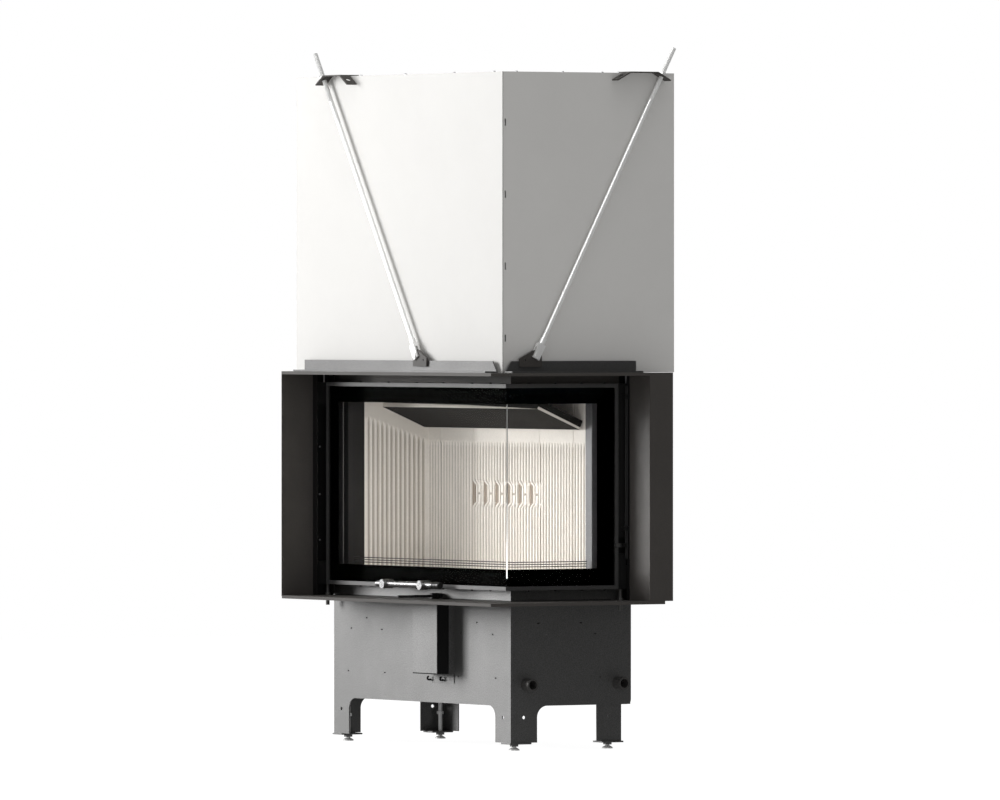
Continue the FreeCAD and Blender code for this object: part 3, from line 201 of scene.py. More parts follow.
@dataclass
class Surface:
    """Points and faces worked out as whole arrays, before they become a piece."""

    points: np.ndarray
    quads: np.ndarray
    triangles: np.ndarray = field(default_factory=lambda: np.zeros((0, 3), int))

    def turned_out(self) -> "Surface":
        """The same surface with its faces turned the other way round."""
        return Surface(self.points, self.quads[:, ::-1], self.triangles[:, ::-1])

    def repeated(self, shifts: np.ndarray) -> "Surface":
        """Copies of the surface, one at each shift.

        Args:
            shifts: Array of moves in metres, one row for each copy.

        Returns:
            One surface with all copies.
        """
        shifts = np.asarray(shifts, float).reshape(-1, 3)
        count = len(self.points)
        points = (self.points[None] + shifts[:, None]).reshape(-1, 3)
        steps = (np.arange(len(shifts)) * count)[:, None, None]
        quads = (self.quads[None] + steps).reshape(-1, 4)
        triangles = (self.triangles[None] + steps).reshape(-1, 3)
        return Surface(points, quads, triangles)

    def joined(self, other: "Surface") -> "Surface":
        """This surface and another as one.

        Args:
            other: The other surface.

        Returns:
            One surface with both.
        """
        step = len(self.points)
        quads = np.concatenate([self.quads, other.quads + step])
        triangles = np.concatenate([self.triangles, other.triangles + step])
        return Surface(np.concatenate([self.points, other.points]), quads, triangles)

    def piece(self, name: str, smooth: bool = True) -> Piece:
        """Put the arrays into a mesh object that sits at the origin.

        Args:
            name: Name of the piece.
            smooth: Whether faces are shaded smooth where they meet at a small angle.

        Returns:
            The new object.
        """
        mesh = bpy.data.meshes.new(name)
        mesh.vertices.add(len(self.points))
        mesh.vertices.foreach_set("co", self.points.astype(np.float32).ravel())
        loops = np.concatenate([self.quads.ravel(), self.triangles.ravel()]).astype(np.int32)
        sizes = np.concatenate([np.full(len(self.quads), 4), np.full(len(self.triangles), 3)])
        starts = np.concatenate([[0], np.cumsum(sizes)[:-1]]).astype(np.int32)
        mesh.loops.add(len(loops))
        mesh.loops.foreach_set("vertex_index", loops)
        mesh.polygons.add(len(sizes))
        mesh.polygons.foreach_set("loop_start", starts)
        mesh.polygons.foreach_set("use_smooth", np.full(len(sizes), smooth))
        mesh.update(calc_edges=True)
        if smooth:
            mesh.set_sharp_from_angle(angle=math.radians(SMOOTH_ANGLE))
        made = bpy.data.objects.new(name, mesh)
        bpy.context.scene.collection.objects.link(made)
        return made


def swept(path: np.ndarray, first: np.ndarray, second: np.ndarray, section: np.ndarray,
          closed: bool = False) -> Surface:
    """Carry a closed section along a path.

    Each point is the path's point plus the section's two distances along that place's two directions.

    Args:
        path: Points of the path, in metres.
        first: First section direction, one for all places or one for each.
        second: Second section direction, in the same way.
        section: Pairs of distances round the section, one set for all places or one for each.
        closed: Whether the path joins up with its start.

    Returns:
        The tube, with fans over its two ends if it is open.
    """
    first = np.broadcast_to(first, path.shape)
    second = np.broadcast_to(second, path.shape)
    section = np.broadcast_to(section, (len(path),) + section.shape[-2:])
    points = path[:, None] + first[:, None] * section[..., :1] + second[:, None] * section[..., 1:]
    rows, columns = points.shape[:2]
    quads = grid_faces(rows, columns, wrap_rows=closed, wrap_columns=True)
    points = points.reshape(-1, 3)
    if closed:
        return Surface(points, quads)
    here = np.arange(columns)
    ahead = (here + 1) % columns
    low, high = len(points), len(points) + 1
    last = (rows - 1) * columns
    low_fan = np.stack([np.full(columns, low), ahead, here], axis=-1)
    high_fan = np.stack([np.full(columns, high), last + here, last + ahead], axis=-1)
    points = np.concatenate([points, path[:1], path[-1:]])
    return Surface(points, quads, np.concatenate([low_fan, high_fan]))


def ring(sides: int, across: float = 1.0, up: float = 1.0) -> np.ndarray:
    """An ellipse as pairs of distances: half widths times the cosine and sine of equal turns."""
    turn = 2 * np.pi * np.arange(sides) / sides
    return np.stack([across * np.cos(turn), up * np.sin(turn)], axis=-1)


def square_to(axis: np.ndarray) -> tuple[np.ndarray, np.ndarray]:
    """Two directions square to an axis and to each other, right-handed with it.

    Args:
        axis: The axis, of any length.

    Returns:
        The first and the second direction.
    """
    axis = unit(axis)
    helper = np.array(UP) if abs(axis[2]) < UPRIGHT else np.array([1.0, 0.0, 0.0])
    first = unit(np.cross(helper, axis))
    return first, np.cross(axis, first)


def lathe(profile: np.ndarray, start: np.ndarray, axis: np.ndarray, sides: int) -> Surface:
    """Turn an outline about an axis.

    Each point is the start plus its height along the axis plus its radius times a turning direction.

    Args:
        profile: Pairs of radius and height in millimetres, from one end of the axis to the other.
        start: Where height zero lies, in metres.
        axis: Direction of the axis.
        sides: Points round the axis.

    Returns:
        The turned surface with closed ends.
    """
    profile = np.asarray(profile, float) * MM
    axis = unit(np.asarray(axis, float))
    path = start + profile[:, 1:] * axis
    section = ring(sides)[None] * profile[:, :1, None]
    return swept(path, *square_to(axis), section)


def plate(outline: np.ndarray, inner: np.ndarray, depth: np.ndarray) -> Surface:
    """A flat band between two lines with the same number of points, carried through a depth.

    Args:
        outline: Points of the band's outer line, in metres.
        inner: Points of its inner line.
        depth: Move from the front face to the back face.

    Returns:
        The closed band.
    """
    points = np.stack([outline, inner, inner + depth, outline + depth], axis=1)
    rows = len(points)
    quads = grid_faces(rows, 4, wrap_columns=True)
    first_end = np.array([[3, 2, 1, 0]])
    last_end = (rows - 1) * 4 + np.array([[0, 1, 2, 3]])
    return Surface(points.reshape(-1, 3), np.concatenate([quads, first_end, last_end]))


def pan_head(radius: float, height: float) -> np.ndarray:
    """Outline of a domed screw head with a round drive socket, from its seat to the socket's floor.

    The rim is a quarter of a circle as high as the head, and the socket is a straight well.

    Args:
        radius: Head radius in millimetres.
        height: Head height in millimetres.

    Returns:
        Pairs of radius and height.
    """
    turn = np.linspace(0.0, np.pi / 2, DOME_STEPS)
    rim = radius - height + height * np.cos(turn)
    dome = np.stack([rim, height * np.sin(turn)], axis=-1)
    socket = radius * SOCKET_SHARE
    floor = height * FLOOR_SHARE
    well = [(socket, height), (socket, floor), (socket * CORE_SHARE, floor)]
    return np.concatenate([[(radius * CORE_SHARE, 0.0)], dome, well])


def screw_heads(spots: np.ndarray, axis: Vec, radius: float, height: float) -> Surface:
    """Equal screw heads, one on each seat.

    Args:
        spots: Corner-frame places of the seats, in millimetres.
        axis: Direction that the heads point.
        radius: Head radius in millimetres.
        height: Head height in millimetres.

    Returns:
        All the heads as one surface.
    """
    one = lathe(pan_head(radius, height), np.zeros(3), np.array(axis), HEAD_SIDES)
    return one.repeated(places(spots))


# Finishes


class Board:
    """A node tree with short ways to add and join nodes."""

    def __init__(self, tree: Tree) -> None:
        """Keep the tree that nodes go into."""
        self.tree = tree

    def add(self, kind: str, inputs: dict | None = None, **settings: object) -> Node:
        """Add a node.

        Args:
            kind: Blender's name of the node type, without its Shader Node prefix.
            inputs: Values or sockets for its inputs, by the input's name or number.
            settings: Values for the node's own properties.

        Returns:
            The node.
        """
        node = self.tree.nodes.new("ShaderNode" + kind)
        for key, value in settings.items():
            setattr(node, key, value)
        for key, value in (inputs or {}).items():
            if isinstance(value, Socket):
                self.tree.links.new(value, node.inputs[key])
            else:
                node.inputs[key].default_value = value
        return node

    def math(self, operation: str, first: object, second: object = 0.0, clamp: bool = False) -> Socket:
        """Add a Math node and give its result."""
        return self.add("Math", {0: first, 1: second}, operation=operation, use_clamp=clamp).outputs[0]

    def spread(self, value: object, low: float, high: float, to_low: float, to_high: float) -> Socket:
        """Add a Map Range node from one span to another and give its result."""
        ends = {"Value": value, "From Min": low, "From Max": high, "To Min": to_low, "To Max": to_high}
        return self.add("MapRange", ends, clamp=True).outputs["Result"]

    def blend(self, share: object, first: object, second: object, way: str = "MIX") -> Socket:
        """Add a colour Mix node and give its result."""
        ends = {0: share, 6: first, 7: second}
        return self.add("Mix", ends, data_type="RGBA", blend_type=way).outputs[2]

    def noise(self, vector: object, scale: object, detail: float, rough: float) -> Socket:
        """Add a Noise Texture and give its factor."""
        ends = {"Vector": vector, "Scale": scale, "Detail": detail, "Roughness": rough}
        return self.add("TexNoise", ends).outputs["Fac"]

    def tone(self, noise: Socket, spread: object) -> Socket:
        """Turn a noise into a tone about one and give its result."""
        centred = self.math("SUBTRACT", self.spread(noise, *NOISE_SPAN, 0.0, 2.0), 1.0)
        return self.math("ADD", 1.0, self.math("MULTIPLY", centred, spread))

    def spot(self) -> Socket:
        """Add object coordinates and give their place."""
        return self.add("TexCoord").outputs["Object"]

    def seen(self) -> Socket:
        """Add a test that is one for rays from the camera, straight or through glass."""
        path = self.add("LightPath")
        return self.math("MAXIMUM", path.outputs["Is Camera Ray"], path.outputs["Is Transmission Ray"])

    def effect(self, tree: Tree, values: dict[str, float]) -> Node:
        """Put a shared effect into the tree with its own values."""
        return self.add("Group", values, node_tree=tree)

    def feed(self, value: Socket, node: Node, label: str) -> None:
        """Join a socket to a node's input."""
        self.tree.links.new(value, node.inputs[label])


def group_of(name: str, inputs: dict[str, float], outputs: list[str]) -> tuple[Tree, Board, dict, Node]:
    """Start a shader node group with float sockets.

    Args:
        name: Name of the group.
        inputs: Names and first values of its inputs.
        outputs: Names of its outputs.

    Returns:
        The group, its board, its inner input sockets by name and its output node.
    """
    tree = bpy.data.node_groups.new(name, "ShaderNodeTree")
    for label, value in inputs.items():
        socket = tree.interface.new_socket(label, in_out="INPUT", socket_type=FLOAT_SOCKET)
        socket.default_value = value
    for label in outputs:
        tree.interface.new_socket(label, in_out="OUTPUT", socket_type=FLOAT_SOCKET)
    start = tree.nodes.new("NodeGroupInput")
    end = tree.nodes.new("NodeGroupOutput")
    return tree, Board(tree), {label: start.outputs[label] for label in inputs}, end


def started(name: str) -> tuple[Material, Board, Node]:
    """Start a material.

    Args:
        name: Name of the material.

    Returns:
        The material, its board and its shader.
    """
    material = bpy.data.materials.new(name)
    material.use_nodes = True
    return material, Board(material.node_tree), material.node_tree.nodes["Principled BSDF"]


class Effects:
    """Effects that several finishes share, each a node group that is built once."""

    def __init__(self) -> None:
        """Build the groups."""
        self.grain = self.make_grain()
        self.cloud = self.make_cloud()
        self.dust = self.make_dust()
        self.scuff = self.make_scuff()
        self.brush = self.make_brush()

    @staticmethod
    def make_grain() -> Tree:
        """Fine grain: noise in object space gives a tone about one and a height.

        Returns:
            The group.
        """
        inputs = {"Scale": 500.0, "Spread": 0.1}
        tree, board, ends, out = group_of("fine_grain", inputs, ["Tone", "Height"])
        fine = board.noise(board.spot(), ends["Scale"], detail=2.0, rough=0.6)
        board.feed(board.tone(fine, ends["Spread"]), out, "Tone")
        board.feed(fine, out, "Height")
        return tree

    @staticmethod
    def make_cloud() -> Tree:
        """Slow variation of a coat: broad noise in object space gives a tone about one.

        Returns:
            The group.
        """
        tree, board, ends, out = group_of("coat_cloud", {"Scale": CLOUD_SCALE, "Spread": 0.05}, ["Tone"])
        broad = board.noise(board.spot(), ends["Scale"], detail=4.0, rough=0.6)
        board.feed(board.tone(broad, ends["Spread"]), out, "Tone")
        return tree

    @staticmethod
    def make_dust() -> Tree:
        """Dust on faces that look up: the upward share of the normal times a speckled noise.

        Returns:
            The group.
        """
        tree, board, ends, out = group_of("settled_dust", {"Amount": 0.2}, ["Mask"])
        coords = board.add("TexCoord")
        lift = board.add("SeparateXYZ", {0: coords.outputs["Normal"]}).outputs["Z"]
        facing = board.spread(lift, 0.4, 0.95, 0.0, 1.0)
        grit = board.noise(coords.outputs["Object"], 60.0, detail=5.0, rough=0.7)
        speckle = board.spread(grit, 0.35, 0.7, 0.2, 1.0)
        mask = board.math("MULTIPLY", board.math("MULTIPLY", facing, speckle), ends["Amount"], clamp=True)
        board.feed(mask, out, "Mask")
        return tree

    @staticmethod
    def make_scuff() -> Tree:
        """Handling marks: thin streaks where a stretched noise passes a high level.

        Returns:
            The group.
        """
        tree, board, ends, out = group_of("handling_scuff", {"Amount": 0.1}, ["Mask"])
        spot = board.spot()
        long = board.add("Mapping", {"Vector": spot, "Scale": (14.0, 14.0, 90.0)}).outputs[0]
        streak = board.spread(board.noise(long, 1.0, detail=6.0, rough=0.65), 0.6, 0.72, 0.0, 1.0)
        patch = board.spread(board.noise(spot, 9.0, detail=2.0, rough=0.5), 0.5, 0.65, 0.0, 1.0)
        mask = board.math("MULTIPLY", board.math("MULTIPLY", streak, patch), ends["Amount"], clamp=True)
        board.feed(mask, out, "Mask")
        return tree

    @staticmethod
    def make_brush() -> Tree:
        """Drawn or brushed lines: noise stretched along x and z gives a tone about one and a height.

        Returns:
            The group.
        """
        inputs = {"Scale": 900.0, "Spread": 0.08}
        tree, board, ends, out = group_of("drawn_lines", inputs, ["Tone", "Height"])
        squeezed = board.add("Mapping", {"Vector": board.spot(), "Scale": (0.04, 1.0, 0.04)}).outputs[0]
        lines = board.noise(squeezed, ends["Scale"], detail=3.0, rough=0.6)
        board.feed(board.tone(lines, ends["Spread"]), out, "Tone")
        board.feed(lines, out, "Height")
        return tree


@dataclass(frozen=True)
class Finish:
    """A surface finish and how it varies."""

    name: str
    colour: Colour
    roughness: float
    metallic: float = 0.0
    specular: float = 0.5
    grain: Grain = Grain.FINE
    grain_scale: float = 500.0
    grain_spread: float = 0.10
    relief: float = 0.0002
    relief_strength: float = 0.25
    cloud: float = 0.05
    gloss_spread: float = 0.05
    dust: float = 0.0
    scuff: float = 0.0
    # Colour that painted shade in hollows and dark joints blend towards, where a mesh attribute asks for it
    shade_and_joint_colour: Colour | None = None
    # Strength of a painted glow, and the heights over which it fades
    glow: float = 0.0
    painted_glow_heights: tuple[float, float] = (0.0, 1.0)

    def make(self, effects: Effects) -> Material:
        """Build the finish as a material.

        Args:
            effects: The shared node groups.

        Returns:
            The material.
        """
        material, board, shader = started(self.name)
        shader.inputs["Metallic"].default_value = self.metallic
        shader.inputs["Specular IOR Level"].default_value = self.specular
        fine, height = self.pattern(board, effects)
        cloud = board.effect(effects.cloud, {"Scale": CLOUD_SCALE, "Spread": self.cloud}).outputs["Tone"]
        tone = board.math("MULTIPLY", fine, cloud)
        colour = self.tinted(board, effects, tone)
        board.feed(colour, shader, "Base Color")
        # Painted glow: emission in the finish's own colour, fading to a small share between two heights
        if self.glow:
            level = board.add("SeparateXYZ", {0: board.spot()}).outputs["Z"]
            share = board.spread(level, *self.painted_glow_heights, 1.0, PAINTED_GLOW_LEFT)
            board.feed(board.blend(1.0, colour, share, "MULTIPLY"), shader, "Emission Color")
            shader.inputs["Emission Strength"].default_value = self.glow
        low, high = self.roughness - self.gloss_spread, self.roughness + self.gloss_spread
        board.feed(board.spread(tone, *TONE_SPAN, high, low), shader, "Roughness")
        relief = {"Height": height, "Strength": self.relief_strength, "Distance": self.relief}
        board.feed(board.add("Bump", relief).outputs[0], shader, "Normal")
        return material

    def tinted(self, board: Board, effects: Effects, tone: Socket) -> Socket:
        """The finish's colour with its painted shade and dark joints, scuffs and dust.

        Args:
            board: The material's board.
            effects: The shared node groups.
            tone: The tone that the colour is multiplied by.

        Returns:
            Socket of the colour.
        """
        colour = board.blend(1.0, (*self.colour, 1.0), tone, "MULTIPLY")
        # Painted shade: a mesh attribute darkens the flutes, the nozzle holes and the band under the baffle,
        # where shade falls, and the brick joints
        if self.shade_and_joint_colour is not None:
            depth = board.add("Attribute", attribute_name="shade_and_joints").outputs["Fac"]
            colour = board.blend(depth, colour, (*self.shade_and_joint_colour, 1.0), "MULTIPLY")
        if self.scuff:
            marks = board.effect(effects.scuff, {"Amount": self.scuff}).outputs["Mask"]
            pale = tuple(min(1.0, SCUFF_GAIN * c + SCUFF_LIFT) for c in self.colour)
            colour = board.blend(marks, colour, (*pale, 1.0))
        if self.dust:
            settled = board.effect(effects.dust, {"Amount": self.dust}).outputs["Mask"]
            colour = board.blend(settled, colour, (*DUST_COLOUR, 1.0))
        return colour

    def pattern(self, board: Board, effects: Effects) -> tuple[Socket, Socket]:
        """The finish's own fine tone and relief height.

        Args:
            board: The material's board.
            effects: The shared node groups.

        Returns:
            Sockets of the tone and of the height.
        """
        tones = (1.0 - self.grain_spread, 1.0 + self.grain_spread)
        if self.grain is Grain.BRAID:
            ends = {"Vector": board.spot(), "Scale": self.grain_scale, "Distortion": BRAID_DISTORTION}
            waves = board.add("TexWave", ends, wave_type="BANDS", bands_direction="DIAGONAL").outputs["Fac"]
            return board.spread(waves, 0.0, 1.0, *tones), waves
        if self.grain is Grain.CAST:
            ends = {"Vector": board.spot(), "Scale": self.grain_scale}
            pits = board.add("TexVoronoi", ends).outputs["Distance"]
            return board.spread(pits, 0.0, PIT_REACH, *tones), pits
        kind = effects.brush if self.grain is Grain.BRUSHED else effects.grain
        node = board.effect(kind, {"Scale": self.grain_scale, "Spread": self.grain_spread})
        return node.outputs["Tone"], node.outputs["Height"]


@dataclass(frozen=True)
class PaneFinish:
    """Clear heat-proof glass."""

    name: str
    colour: Colour
    index: float
    specular: float
    smear: float
    smear_roughness: float = 0.06

    def make(self, effects: Effects) -> Material:
        """Build the glass, with faint wiping marks in its gloss.

        Args:
            effects: The shared node groups.

        Returns:
            The material.
        """
        material, board, shader = started(self.name)
        shader.inputs["Base Color"].default_value = (*self.colour, 1.0)
        shader.inputs["Transmission Weight"].default_value = 1.0
        shader.inputs["IOR"].default_value = self.index
        shader.inputs["Specular IOR Level"].default_value = self.specular
        marks = board.effect(effects.scuff, {"Amount": self.smear}).outputs["Mask"]
        board.feed(board.spread(marks, 0.0, 1.0, 0.0, self.smear_roughness), shader, "Roughness")
        return material


@dataclass
class Finishes:
    """All finishes of the insert, made once."""

    effects: Effects
    made: dict[str, Material] = field(default_factory=dict)

    def options(self) -> list[Finish | PaneFinish]:
        """The finishes by name: paints, ceramics, metals, glass and rope.

        Returns:
            All the finishes.
        """
        return [
            Finish("plinth_paint", (0.204, 0.203, 0.201), 0.48, metallic=0.85, specular=0.5,
                   grain_scale=420.0, grain_spread=0.22, relief=0.0004, relief_strength=0.35, cloud=0.06,
                   dust=0.06, scuff=0.06),
            # A darker copy of the plinth paint: painted shade on the lintel angles and the door frame
            Finish("lintel_shaded_paint", (0.122, 0.121, 0.120), 0.46, metallic=0.65, specular=0.5,
                   grain_scale=520.0, grain_spread=0.16, relief=0.0003, relief_strength=0.3, cloud=0.05,
                   dust=0.08, scuff=0.08),
            # A darker, duller copy of the plinth paint: painted shade on the surround's plates, tie lugs and
            # brackets and on the door header
            Finish("frame_paint", (0.058, 0.053, 0.049), 0.50, specular=0.30, grain_scale=800.0,
                   grain_spread=0.12, relief=0.0002, relief_strength=0.2, cloud=0.06, dust=0.12,
                   scuff=0.12),
            Finish("post_paint", (0.135, 0.135, 0.139), 0.45, metallic=0.30, specular=0.4,
                   grain_scale=700.0, grain_spread=0.10, relief=0.0002, relief_strength=0.2, cloud=0.06,
                   scuff=0.08),
            Finish("housing_paint", (0.63, 0.622, 0.605), 0.52, specular=0.35, grain_scale=900.0,
                   grain_spread=0.012, relief=0.0001, relief_strength=0.1, cloud=0.012, dust=0.04,
                   scuff=0.03),
            Finish("firebox_paint", (0.018, 0.017, 0.017), 0.62, specular=0.3, grain_scale=700.0,
                   grain_spread=0.15, cloud=0.10, dust=0.06),
            Finish("door_paint", (0.008, 0.008, 0.008), 0.34, specular=0.28, grain_scale=900.0,
                   grain_spread=0.10, relief_strength=0.12, cloud=0.06, scuff=0.10),
            # The lining's darker colour paints the shade in its flutes, holes and under the baffle, and
            # colours its joints
            Finish("lining_ceramic", (0.90, 0.862, 0.808), 0.85, specular=0.2, grain_scale=260.0,
                   grain_spread=0.035, relief=0.0004, relief_strength=0.25, cloud=0.04,
                   shade_and_joint_colour=(0.26, 0.21, 0.165)),
            Finish("baffle_ceramic", (0.013, 0.012, 0.011), 0.88, specular=0.2, grain_scale=220.0,
                   grain_spread=0.12, relief=0.0005, relief_strength=0.4, cloud=0.12),
            Finish("baffle_edge", (0.60, 0.565, 0.51), 0.85, specular=0.2, grain_scale=240.0,
                   grain_spread=0.08, relief=0.0004, relief_strength=0.3, cloud=0.10),
            Finish("bright_steel", (0.90, 0.90, 0.89), 0.36, metallic=0.30, grain=Grain.BRUSHED,
                   grain_scale=900.0, grain_spread=0.05, relief=0.00005, relief_strength=0.1, cloud=0.05,
                   scuff=0.10),
            Finish("sleeve_steel", (0.120, 0.117, 0.113), 0.36, metallic=0.60, grain=Grain.BRUSHED,
                   grain_scale=700.0, grain_spread=0.15, relief=0.0001, relief_strength=0.15, cloud=0.12,
                   scuff=0.15),
            Finish("polished_steel", (0.50, 0.50, 0.50), 0.27, metallic=1.0, grain=Grain.BRUSHED,
                   grain_scale=1200.0, grain_spread=0.03, relief=0.00003, relief_strength=0.08,
                   cloud=0.03),
            Finish("lever_steel", (0.020, 0.020, 0.020), 0.28, metallic=0.2, grain=Grain.BRUSHED,
                   grain_scale=900.0, grain_spread=0.10, relief=0.00005, relief_strength=0.1, cloud=0.06,
                   scuff=0.15),
            PaneFinish("door_glass", (0.97, 0.97, 0.965), index=1.05, specular=0.12, smear=0.25),
            Finish("printed_border", (0.000006, 0.000006, 0.000006), 0.90, specular=0.0,
                   grain_scale=1500.0, grain_spread=0.08, relief_strength=0.03, cloud=0.04),
            # The pane edge glows as painted light, bright at its foot and faint above
            Finish("pane_edge", (0.42, 0.42, 0.41), 0.35, specular=0.5, grain_scale=1500.0,
                   grain_spread=0.06, relief_strength=0.1, cloud=0.05, glow=3.2,
                   painted_glow_heights=(0.50, 0.68)),
            Finish("rope_seal", (0.055, 0.054, 0.052), 0.95, specular=0.15, grain=Grain.BRAID,
                   grain_scale=160.0, grain_spread=0.35, relief=0.0008, relief_strength=0.8, cloud=0.12),
            Finish("weight_iron", (0.045, 0.043, 0.041), 0.66, metallic=0.3, grain=Grain.CAST,
                   grain_scale=240.0, grain_spread=0.25, relief=0.0006, relief_strength=0.5, cloud=0.12,
                   dust=0.15),
            Finish("lift_steel", (0.50, 0.50, 0.51), 0.36, metallic=1.0, grain=Grain.BRUSHED,
                   grain_scale=600.0, grain_spread=0.08, relief=0.0001, relief_strength=0.15, cloud=0.08,
                   dust=0.05, scuff=0.10),
            # Near-black for painted shadow in the housing seam and on the linkage cover
            Finish("seam_shadow", (0.010, 0.010, 0.010), 0.9, specular=0.1, grain_scale=400.0,
                   grain_spread=0.2, relief_strength=0.1, cloud=0.1),
        ]

    def make(self) -> None:
        """Build every finish once."""
        for option in self.options():
            self.made[option.name] = option.make(self.effects)

    def dress(self, piece: Piece, name: str) -> None:
        """Give a piece or a carried-over node its finish.

        Args:
            piece: The object.
            name: Name of the finish.
        """
        if piece.material_slots:
            for slot in piece.material_slots:
                slot.material = self.made[name]
        else:
            piece.data.materials.append(self.made[name])

    def dress_nodes(self, names: list[str], finish: str) -> None:
        """Give several carried-over nodes one finish."""
        for name in names:
            self.dress(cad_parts[name], finish)


@dataclass
class Assembly:
    """A group of pieces of the insert that are built and dressed together."""

    finishes: Finishes

    def add(self, piece: Piece, body: Body, finish: str, slot: str,
            replaces: tuple[str, ...] = ()) -> None:
        """Dress a new piece, set it on its body and report it.

        Args:
            piece: The new piece.
            body: The body that it rides on.
            finish: Name of its finish.
            slot: The record's material slot that it belongs to; not used.
            replaces: Nodes that it stands for.
        """
        self.finishes.dress(piece, finish)
        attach(piece, body.value)
        if replaces:
            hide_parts(*replaces)
        LOG.info("%s on %s, %d points", piece.name, body.value, len(piece.data.vertices))


@dataclass
class Plinth(Assembly):
    """Folded sheet plinth with its feet, carrying tubes and air linkage."""

    linkage_bottom: float = 166.0
    hook_radius: float = 2.6
    hook_root: tuple[float, float] = (2.0, 5.0)
    hook_reach: float = 9.0
    hook_bend: float = 4.0
    hook_steps: int = 9
    hook_along: tuple[float, float] = (386.0, 324.0)
    hook_rise: float = 7.0
    shade_inset: float = 1.0
    shade_front_gap: float = 1.5
    shade_thickness: float = 0.4
    shade_lip: float = 2.5

    def dress(self) -> None:
        """Give the plinth's nodes their finishes."""
        sheets = ["plinth_front_panel", "plinth_right_panel", "plinth_left_panel", "plinth_rear_panel"]
        sheets += ["rear_legs", "foot_plates", "linkage_bracket", "linkage_cover", "air_inlet_collar"]
        corners = ("front_left", "front_right", "rear_left", "rear_right")
        self.finishes.dress_nodes(sheets, "plinth_paint")
        self.finishes.dress_nodes(["carrying_sleeves"], "sleeve_steel")
        self.finishes.dress_nodes(["levelling_foot_" + corner for corner in corners], "bright_steel")
        self.finishes.dress_nodes(["air_lever"], "lever_steel")

    def build(self) -> None:
        """Add the two wire hooks under the linkage cover and the painted shade on the cover."""
        self.add(self.hooks(), Body.STAND, "door_paint", "plinth_paint")
        # Painted shade: dark sheets on the cover's shaded side and along its lower edge
        self.add(self.cover_shade(), Body.STAND, "seam_shadow", "plinth_paint")

    def cover_shade(self) -> Piece:
        """Painted shade on the cover: a thin dark band over its right side and a narrow one along its lower
        front edge.

        Each is a flat band between two straight lines, carried through its thickness.

        Returns:
            The piece.
        """
        low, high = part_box("linkage_cover")
        inset, skin = self.shade_inset * MM, self.shade_thickness * MM
        rear, front = high.y - inset, low.y + self.shade_front_gap * MM
        line = np.array([[high.x, rear, low.z + inset], [high.x, rear, high.z - inset]])
        side = plate(line, line + np.array([0.0, front - rear, 0.0]), np.array([skin, 0.0, 0.0]))
        edge = np.array([[low.x + inset, low.y, low.z], [high.x - inset, low.y, low.z]])
        lip = plate(edge + np.array([0.0, 0.0, self.shade_lip * MM]), edge, np.array([0.0, -skin, 0.0]))
        return side.joined(lip).piece("linkage_cover_shade", smooth=False)

    def hooks(self) -> Piece:
        """Two wire hooks: a round section carried out from the bracket's back and half a turn upwards.

        Returns:
            The piece.
        """
        turn = np.linspace(-np.pi / 2, np.pi / 2, self.hook_steps)
        out = np.concatenate([self.hook_root, self.hook_reach + self.hook_bend * np.cos(turn)])
        rise = np.concatenate([[0.0, 0.0], self.hook_bend + self.hook_bend * np.sin(turn)])
        path = side_place(Side.FRONT, 0.0, out, rise) * MM
        along = unit(np.gradient(path, axis=0))
        first = np.array([1.0, 0.0, 0.0])
        section = ring(WIRE_SIDES, self.hook_radius * MM, self.hook_radius * MM)
        one = swept(path, first, np.cross(along, first), section)
        height = self.linkage_bottom + self.hook_rise
        spots = side_place(Side.FRONT, np.array(self.hook_along), 0.0, height)
        return one.repeated(places(spots)).piece("linkage_hooks")


